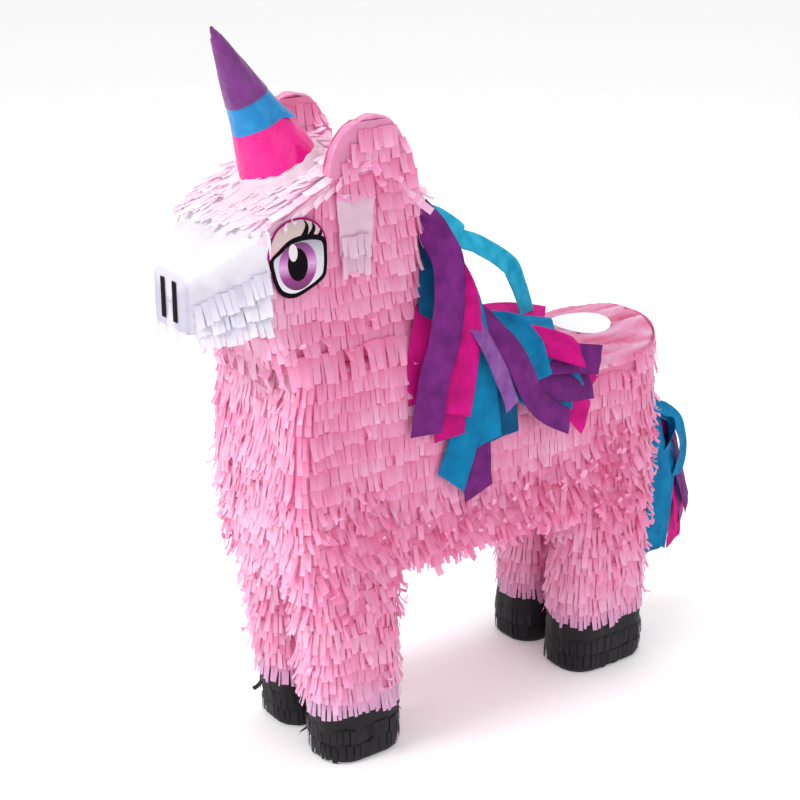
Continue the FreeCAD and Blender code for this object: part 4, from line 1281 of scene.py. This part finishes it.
# The tail's strips: name, slant of the cut end, facing, and control points.
TAIL = (
    ("cyan_main", -6, [(0.2, 1, 0)] * 4 + [(0.7, 0.4, 0.1)] + [SIDEWAYS] * 4, [
        (4, 318.5, 234), (4, 320, 220), (4, 324, 207), (5, 338, 199), (6, 352, 190), (6, 355, 163),
        (5, 353, 128), (5, 350, 96), (5, 346, 66),
    ]),
    ("purple_rear", 3, (0.8, 0.5, 0.2), [
        (-2, 318.5, 231), (-2, 321, 216), (-2, 340, 196), (-1, 366, 160), (0, 377, 126), (0, 388.5, 93),
    ]),
    ("cyan_hook", 2, (0.9, 0.3, 0.1), [
        (7, 318.5, 229), (7, 320, 215), (7, 325, 203), (8, 346, 194), (8, 362, 181), (8, 370, 164),
        (8, 371, 146), (8, 365, 129),
    ]),
    ("cyan_rear", 4, (0.7, 0.6, 0.1), [
        (-8, 318.5, 229), (-8, 325, 215), (-8, 350, 190), (-8, 372, 150), (-7, 384, 112), (-6, 387, 80),
    ]),
    ("magenta_rear", 3, (0.9, 0.4, 0.1), [
        (2, 318.5, 227), (2, 325, 212), (2, 346, 180), (1, 363, 140), (0, 376, 106), (-2, 381, 76),
    ]),
    ("magenta_long", 3, (0.9, 0.3, 0), [
        (-12, 318.5, 226), (-12, 326, 208), (-12, 350, 168), (-11, 370, 120), (-10, 383, 76),
        (-10, 384, 52),
    ]),
    ("cyan_low", 4, SIDEWAYS, [
        (8, 318.5, 226), (8, 320, 208), (9, 332, 172), (12, 342, 124), (11, 338, 88), (10, 334, 62),
    ]),
    ("purple_inner", 4, (-0.9, 0.3, 0), [
        (-16, 318, 228), (-17, 334, 200), (-17, 350, 160), (-17, 360, 120), (-16, 366, 84),
    ]),
)


def make_mane():
    """The mane: streamers glued at the nape that fall over the left flank and spread over the back."""
    for i, (word, nodes, tone, end, points) in enumerate(HUNG):
        root, neck, rest = HUNG_FACES.get(word, HUNG_FACE)
        facing = [root, neck] + [rest] * (len(points) - 2)
        width = NARROW.get(word, STREAMER)
        streamer(f"mane_{word}", 200 + i, points, "body", facing, nodes, end, width, tone)
    for i, (word, end, facing, points) in enumerate(LAID):
        streamer(f"mane_{word}", 240 + i, points, "body", facing, SPREAD, end)
    facing = [(0.4, -0.3, 0.8)] * 2 + [(0.7, -0.2, 0.6)] * 8 + [(0.8, 0.1, 0.3)] * 3
    streamer(
        "mane_cyan_arch", 260, ARCH_ROUTE, "body", facing, ARCH, width=NARROW["cyan_arch"],
        colour="arch",
    )


def make_tail():
    """The tail: streamers that hang from the paper tie and lift together about it."""
    for i, (word, end, facing, points) in enumerate(TAIL):
        width = NARROW.get(word, STREAMER)
        streamer(f"tail_{word}", 280 + i, points, "tail", facing, ("tail_streamers",), end, width)


# ---------------------------------------------------------------- eyes, nose, cheek and label


def flat_shape(points, x, side):
    """A closed smooth outline in the eye's own (y, z), placed on the head's side."""
    loop = np.array(points, float)
    dense = curve_through(np.vstack([loop[-2:], loop, loop[:2]]), 0.8)
    away = np.linalg.norm(dense - loop[0], axis=1)
    half = len(dense) // 2
    dense = dense[int(np.argmin(away[:half])):len(dense) - 1 - int(np.argmin(away[::-1][:half]))]
    return np.column_stack([np.full(len(dense), side * x), dense[:, 0] + EYE_Y, dense[:, 1] + EYE_Z])


def oval_points(y, z, half_y, half_z, tilt):
    """An ellipse's outline."""
    turn = np.linspace(0, 2 * math.pi, 20, endpoint=False)
    a, b = np.cos(turn) * half_y, np.sin(turn) * half_z
    c, s = math.cos(tilt), math.sin(tilt)
    return [(y + p * c - q * s, z + p * s + q * c) for p, q in zip(a, b)]


def plain(name, colour, rough=0.35):
    """Printed ink: one colour with the faint unevenness of print on glossy paper."""
    n = Nodes(name)
    speck = n.noise(0.002, 3.0)
    soft = n.mix(0.08, colour, n.ramp(speck, [(0.3, grey(0.3)), (0.7, grey(0.8))]), "SOFT_LIGHT")
    n.finish(soft, rough, 0.06)
    n.join(n.bump(n.noise(0.01, 2.0), 0.0003, 0.3), n.shader.inputs["Normal"])
    return n.material


def height_ramp(name, stops, low, high):
    """Printed ink that changes with height between low and high, in the row's metres."""
    n = Nodes(name)
    split = n.add("ShaderNodeSeparateXYZ")
    n.join(n.place(), split.inputs["Vector"])
    share = n.add("ShaderNodeMapRange")
    share.inputs["From Min"].default_value = low
    share.inputs["From Max"].default_value = high
    n.join(split.outputs["Z"], share.inputs["Value"])
    n.finish(n.ramp(share.outputs["Result"], stops), 0.35)
    return n.material


# The eye sticker's outlines, in (y, z) from its centre.
STICKER_X = 57.8
EYE_OUTLINE = [
    (-23.4, 2), (-24.2, 8), (-21, 19), (-15, 26.4), (-5.5, 30.2), (5, 30.2), (14.4, 26), (20.4, 19.4),
    (23, 12), (23.6, 3), (23.2, -8), (20.4, -15), (9.4, -21), (-2.8, -25), (-12.4, -22.8), (-17.6, -16.6),
    (-21.2, -6.6),
]
EYE_INNER = [
    (-22.2, 3), (-22.8, 8), (-19.8, 18), (-14.2, 24.9), (-5.3, 28.6), (4.8, 28.6), (13.6, 24.6),
    (19.2, 18.4), (21.6, 12), (22.4, 3), (22, -8), (19.4, -14.4), (9, -20), (-2.6, -24), (-11.8, -22),
    (-16.8, -16), (-20.2, -6.2),
]
EYE_BLACK = [
    (-23, 3.6), (-15.6, 10.2), (-7.4, 15.8), (1, 17.8), (10, 17.8), (18.4, 15.6), (22.4, 12.4), (23.4, 3),
    (23, -8), (20.2, -15), (9.4, -20.8), (-2.8, -24.8), (-12.4, -22.6), (-17.6, -16.4), (-21.2, -6.4),
]
EYE_BALL = [
    (-19.6, 3.4), (-14.2, 7.4), (-6.8, 12.2), (1, 14), (9.6, 14), (17, 12.4), (19.8, 9.6), (20.6, 2),
    (20.2, -7.4), (18, -12.8), (9, -18), (-2.4, -21.6), (-10.8, -19.6), (-15.4, -14.6), (-18.4, -6),
]
LASHES = [
    [(1.6, 16.4), (4.6, 21), (6, 25), (4.4, 29.4), (8.2, 24.6), (8.4, 20), (6, 16.6)],
    [(7, 16.8), (10, 19.8), (11.6, 22.6), (11.5, 26), (14.1, 22.4), (13.4, 18.8), (11, 16.2)],
    [(13.4, 15.6), (16, 16.9), (17.2, 18), (18.4, 20.2), (19.5, 16.9), (18.3, 15), (17, 14)],
]


def make_eyes():
    """The printed eye stickers, as thin layers of ink shapes on a backing."""
    ink = plain("eye_black", srgb(12, 4, 10), 0.55)
    arc = plain("eye_magenta", srgb(150, 12, 104))
    shine = plain("eye_shine", srgb(224, 216, 220), 0.25)
    z0 = EYE_Z / 1000
    lid = height_ramp(
        "eye_lid", [(0, srgb(230, 160, 182)), (0.45, srgb(206, 180, 180)), (1, srgb(182, 166, 166))],
        z0 + 0.004, z0 + 0.03,
    )
    white = height_ramp(
        "eye_white", [(0, srgb(224, 222, 234)), (0.6, srgb(204, 200, 214)), (1, srgb(146, 136, 152))],
        z0 - 0.022, z0 + 0.016,
    )
    iris_stops = [
        (0, srgb(92, 4, 74)), (0.28, srgb(146, 34, 130)), (0.5, srgb(214, 158, 212)),
        (0.72, srgb(160, 66, 154)), (1, srgb(56, 4, 46)),
    ]
    iris = height_ramp("eye_iris", iris_stops, z0 - 0.0205, z0 + 0.015)
    inks = (arc, lid, ink, white, iris, shine)
    oval = oval_points(-0.6, -2.7, 15.2, 17.2, 0.1)
    iris_loop = [(p, min(q, 13.4 - 0.012 * (p - 3) ** 2)) for p, q in oval]
    pupil = oval_points(-0.7, -1.9, 8.0, 11.7, 0.12)
    highlight = oval_points(-4.4, 7.0, 3.5, 6.2, 0.1)
    # Each layer's outline, which of the inks it is printed in, and how far it stands off the backing.
    layers = [
        (EYE_OUTLINE, 0, 0.0), (EYE_INNER, 1, 0.10), (EYE_BLACK, 2, 0.20), (EYE_BALL, 3, 0.30),
        (iris_loop, 4, 0.40), (pupil, 2, 0.50), (highlight, 5, 0.60),
    ] + [(lash, 2, 0.35) for lash in LASHES]
    for word, side in SIDES:
        mesh = bpy.data.meshes.new(f"eye_sticker_{word}")
        points, faces, kinds = [], [], []
        for loop, kind, rise in layers:
            ring = flat_shape(loop, STICKER_X + rise, side)
            order = np.arange(len(ring)) + len(points)
            faces.append(list(order if side < 0 else order[::-1]))
            kinds.append(kind)
            points.extend(to_row(ring).tolist())
        back = flat_shape(EYE_OUTLINE, STICKER_X - 0.5, side)
        start, ring_size = len(points), len(back)
        points.extend(to_row(back).tolist())
        for i in range(ring_size):
            j = (i + 1) % ring_size
            faces.append([start + i, start + j, j, i])
            kinds.append(0)
        mesh.from_pydata(points, [], faces)
        for material in inks:
            mesh.materials.append(material)
        mesh.polygons.foreach_set("material_index", kinds)
        mesh.update()
        mesh.validate()
        piece = link(bpy.data.objects.new(f"eye_sticker_{word}", mesh))
        finish_piece(piece, "body", "eye_print", "eye_stickers")


def make_cheek():
    """The thin white tissue patch stuck on the left cheek, creased, with a few cut tabs at its foot."""
    rng = np.random.default_rng(300)
    tabs = Tabs(301)
    rows, columns = 22, 14
    grid = []
    for v in np.arange(rows) / (rows - 1):
        front, rear = -28 + 2 * v, 3 - 3 * v
        us = np.linspace(0, 1, columns)
        grid.append([(57.9, front + (rear - front) * u, 449 - 44 * v - 4 * u) for u in us])
    grid = np.array(grid)
    grid[:, :, 0] += (waves(rng, grid.reshape(-1, 3), 14, 10) * 0.7).reshape(rows, columns)
    tabs.sheet(grid, tone=0.55, lilac=0.35)
    for z, front in ((418, -26), (406, -25)):
        side_row(tabs, 58.8, np.linspace(front, -1, 20), z, 1, steady("white", lilac=0.25, tone=0.5), 0.3)
    finish_piece(tabs.piece("cheek_patch_cut", PATCH), "body", "white_tissue", "cheek_patch")


# ---------------------------------------------------------------- back


MOUTH_HALF = 22.0
MOUTH_YS = (229.0, 267.0)
LABEL_AT = (3, 248)


def back_z(x):
    """The arched back's height."""
    return ARCH_Z + np.sqrt(ARCH_R ** 2 - np.asarray(x, float) ** 2)


def plan_limit(y):
    """Half the back's width at a distance along it: full, then round at the rump's corners."""
    over = np.clip(np.asarray(y, float) - (RUMP_Y - RUMP_ROUND), 0, RUMP_ROUND)
    return HALF_BODY - RUMP_ROUND + np.sqrt(np.maximum(RUMP_ROUND ** 2 - over ** 2, 0))


def back_patch(name, seed, xs, ys, node, body, extra=0.0):
    """Flat tissue over the arched back, creased along the body.

    extra is how far its ragged edges hang past the back's own, and such a sheet has the fill mouth cut out.
    """
    rng = np.random.default_rng(seed)
    gx, gy = np.meshgrid(xs, ys, indexing="ij")
    ragged = 1.2 * np.sin(gy / 3.1) + 0.9 * np.sin(gy / 1.37 + 1) + 0.8 * np.sin(gy / 7.7 + np.sign(gx))
    limit = plan_limit(gy) + extra + ragged * (extra > 0)
    gx = np.clip(gx, -limit, limit)
    past = np.maximum(np.abs(gx) - plan_limit(gy), 0) + np.maximum(gy - RUMP_Y, 0)
    gz = back_z(np.clip(gx, -HALF_BODY, HALF_BODY)) - 1.3 * past
    flat = np.column_stack([gx.ravel(), gy.ravel(), gz.ravel()])
    long_creases = waves(rng, flat * [1, 0.16, 0], 11, 14) * 0.35
    fine = waves(rng, flat * [1, 0.5, 0], 5, 12) * 0.12
    away = np.hypot(flat[:, 0] - LABEL_AT[0], flat[:, 1] - LABEL_AT[1])
    calm = 0.12 + 0.88 * smoothstep(26, 34, away)
    flat[:, 2] += (long_creases * 3.4 + fine * 3.2) * calm + 1.2 * smoothstep(26, 40, away)
    quads = grid_quads(len(xs), len(ys))
    centre = flat[quads].mean(axis=1)
    spread = np.linalg.norm(flat[quads[:, 0]] - flat[quads[:, 2]], axis=1)
    in_mouth = (extra > 0) & (np.abs(centre[:, 0]) < MOUTH_HALF)
    in_mouth &= (centre[:, 1] > MOUTH_YS[0]) & (centre[:, 1] < MOUTH_YS[1])
    quads = quads[~in_mouth & (spread > 0.4)]
    shade = np.zeros((len(flat), 3))
    shade[:, 0] = np.clip(0.5 + 0.3 * waves(rng, flat * [1, 0.2, 0], 12), 0, 1)
    # Painted shade in the creases' valleys and painted highlight on their crests, through the second value.
    shade[:, 1] = np.clip(0.6 + 0.55 * long_creases / 0.35 + 0.2 * fine / 0.12, 0, 1)
    return finish_piece(build(name, flat, quads, PINK, shade), body, "pink_tissue", node)


def make_back():
    """The tissue over the back and over the fill flap."""
    xs = np.unique(np.concatenate([np.linspace(-63, 63, 91), (-MOUTH_HALF, MOUTH_HALF)]))
    ys = np.unique(np.concatenate([np.linspace(44.5, 306, 174), MOUTH_YS]))
    sheet = back_patch("back_tissue_creased", 310, xs, ys, "back_tissue", "body", extra=5.0)
    xs, ys = np.linspace(-21, 21, 30), np.linspace(230, 266, 26)
    flap = back_patch("flap_tissue_creased", 311, xs, ys, "flap_tissue", "flap")


# ---------------------------------------------------------------- card, floor, light and camera


def finish_card():
    """Gives each CAD node that stays its material."""
    own = {
        "fill_label": LABEL, "nostril_strips": NOSTRIL, "tail_tie": TIE,
        "belly_board": PINK_PLAIN, "jaw_board": PINK_PLAIN,
    }
    for name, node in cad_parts.items():
        material = BLACK_PLAIN if name.startswith("hoof_sole") else own.get(name, CARD)
        node.data.materials.clear()
        node.data.materials.append(material)


def area_light(name, place, target, size, power):
    """A soft round light aimed at a point."""
    light = bpy.data.lights.new(name, "AREA")
    light.shape = "DISK"
    light.size = size
    light.energy = power
    lamp = link(bpy.data.objects.new(name, light))
    lamp.location = place
    lamp.rotation_euler = (Vector(target) - Vector(place)).to_track_quat("-Z", "Y").to_euler()


def make_stage():
    """A plain pale floor, soft studio light and the camera."""
    mesh = bpy.data.meshes.new("floor")
    mesh.from_pydata([(-12, -12, 0), (12, -12, 0), (12, 12, 0), (-12, 12, 0)], [], [(0, 1, 2, 3)])
    floor = link(bpy.data.objects.new("floor", mesh))
    surface = Nodes("floor_white")
    surface.shader.inputs["Base Color"].default_value = (0.95, 0.95, 0.95, 1)
    surface.shader.inputs["Roughness"].default_value = 0.9
    surface.shader.inputs["Emission Color"].default_value = (1, 1, 1, 1)
    surface.shader.inputs["Emission Strength"].default_value = 0.15
    mesh.materials.append(surface.material)
    world = bpy.data.worlds.new("studio")
    world.use_nodes = True
    background = world.node_tree.nodes["Background"]
    background.inputs["Color"].default_value = (1, 1, 1, 1)
    background.inputs["Strength"].default_value = 0.82
    bpy.context.scene.world = world
    bpy.context.scene.view_settings.view_transform = "Standard"
    area_light("key", (-0.1, -1.6, 1.4), (0, 0, 0.28), 0.6, 17)
    area_light("fill", (1.8, 0.2, 0.9), (0, 0, 0.25), 1.2, 3)
    area_light("top", (-0.2, 0.3, 1.9), (0, 0, 0.3), 1.0, 9)
    camera = bpy.data.cameras.new("camera")
    camera.lens = 79.2
    camera.sensor_width = 36
    view = link(bpy.data.objects.new("camera", camera))
    view.location = (1.0206, -0.81175, 0.7335)
    view.rotation_euler = (math.radians(69.7), 0, math.radians(54))
    bpy.context.scene.camera = view


for make in (
    make_stage, make_torso, make_legs, make_head, make_muzzle, make_horn, make_mane, make_tail, make_eyes,
    make_cheek, make_back, finish_card,
):
    make()

bpy.context.view_layer.update()
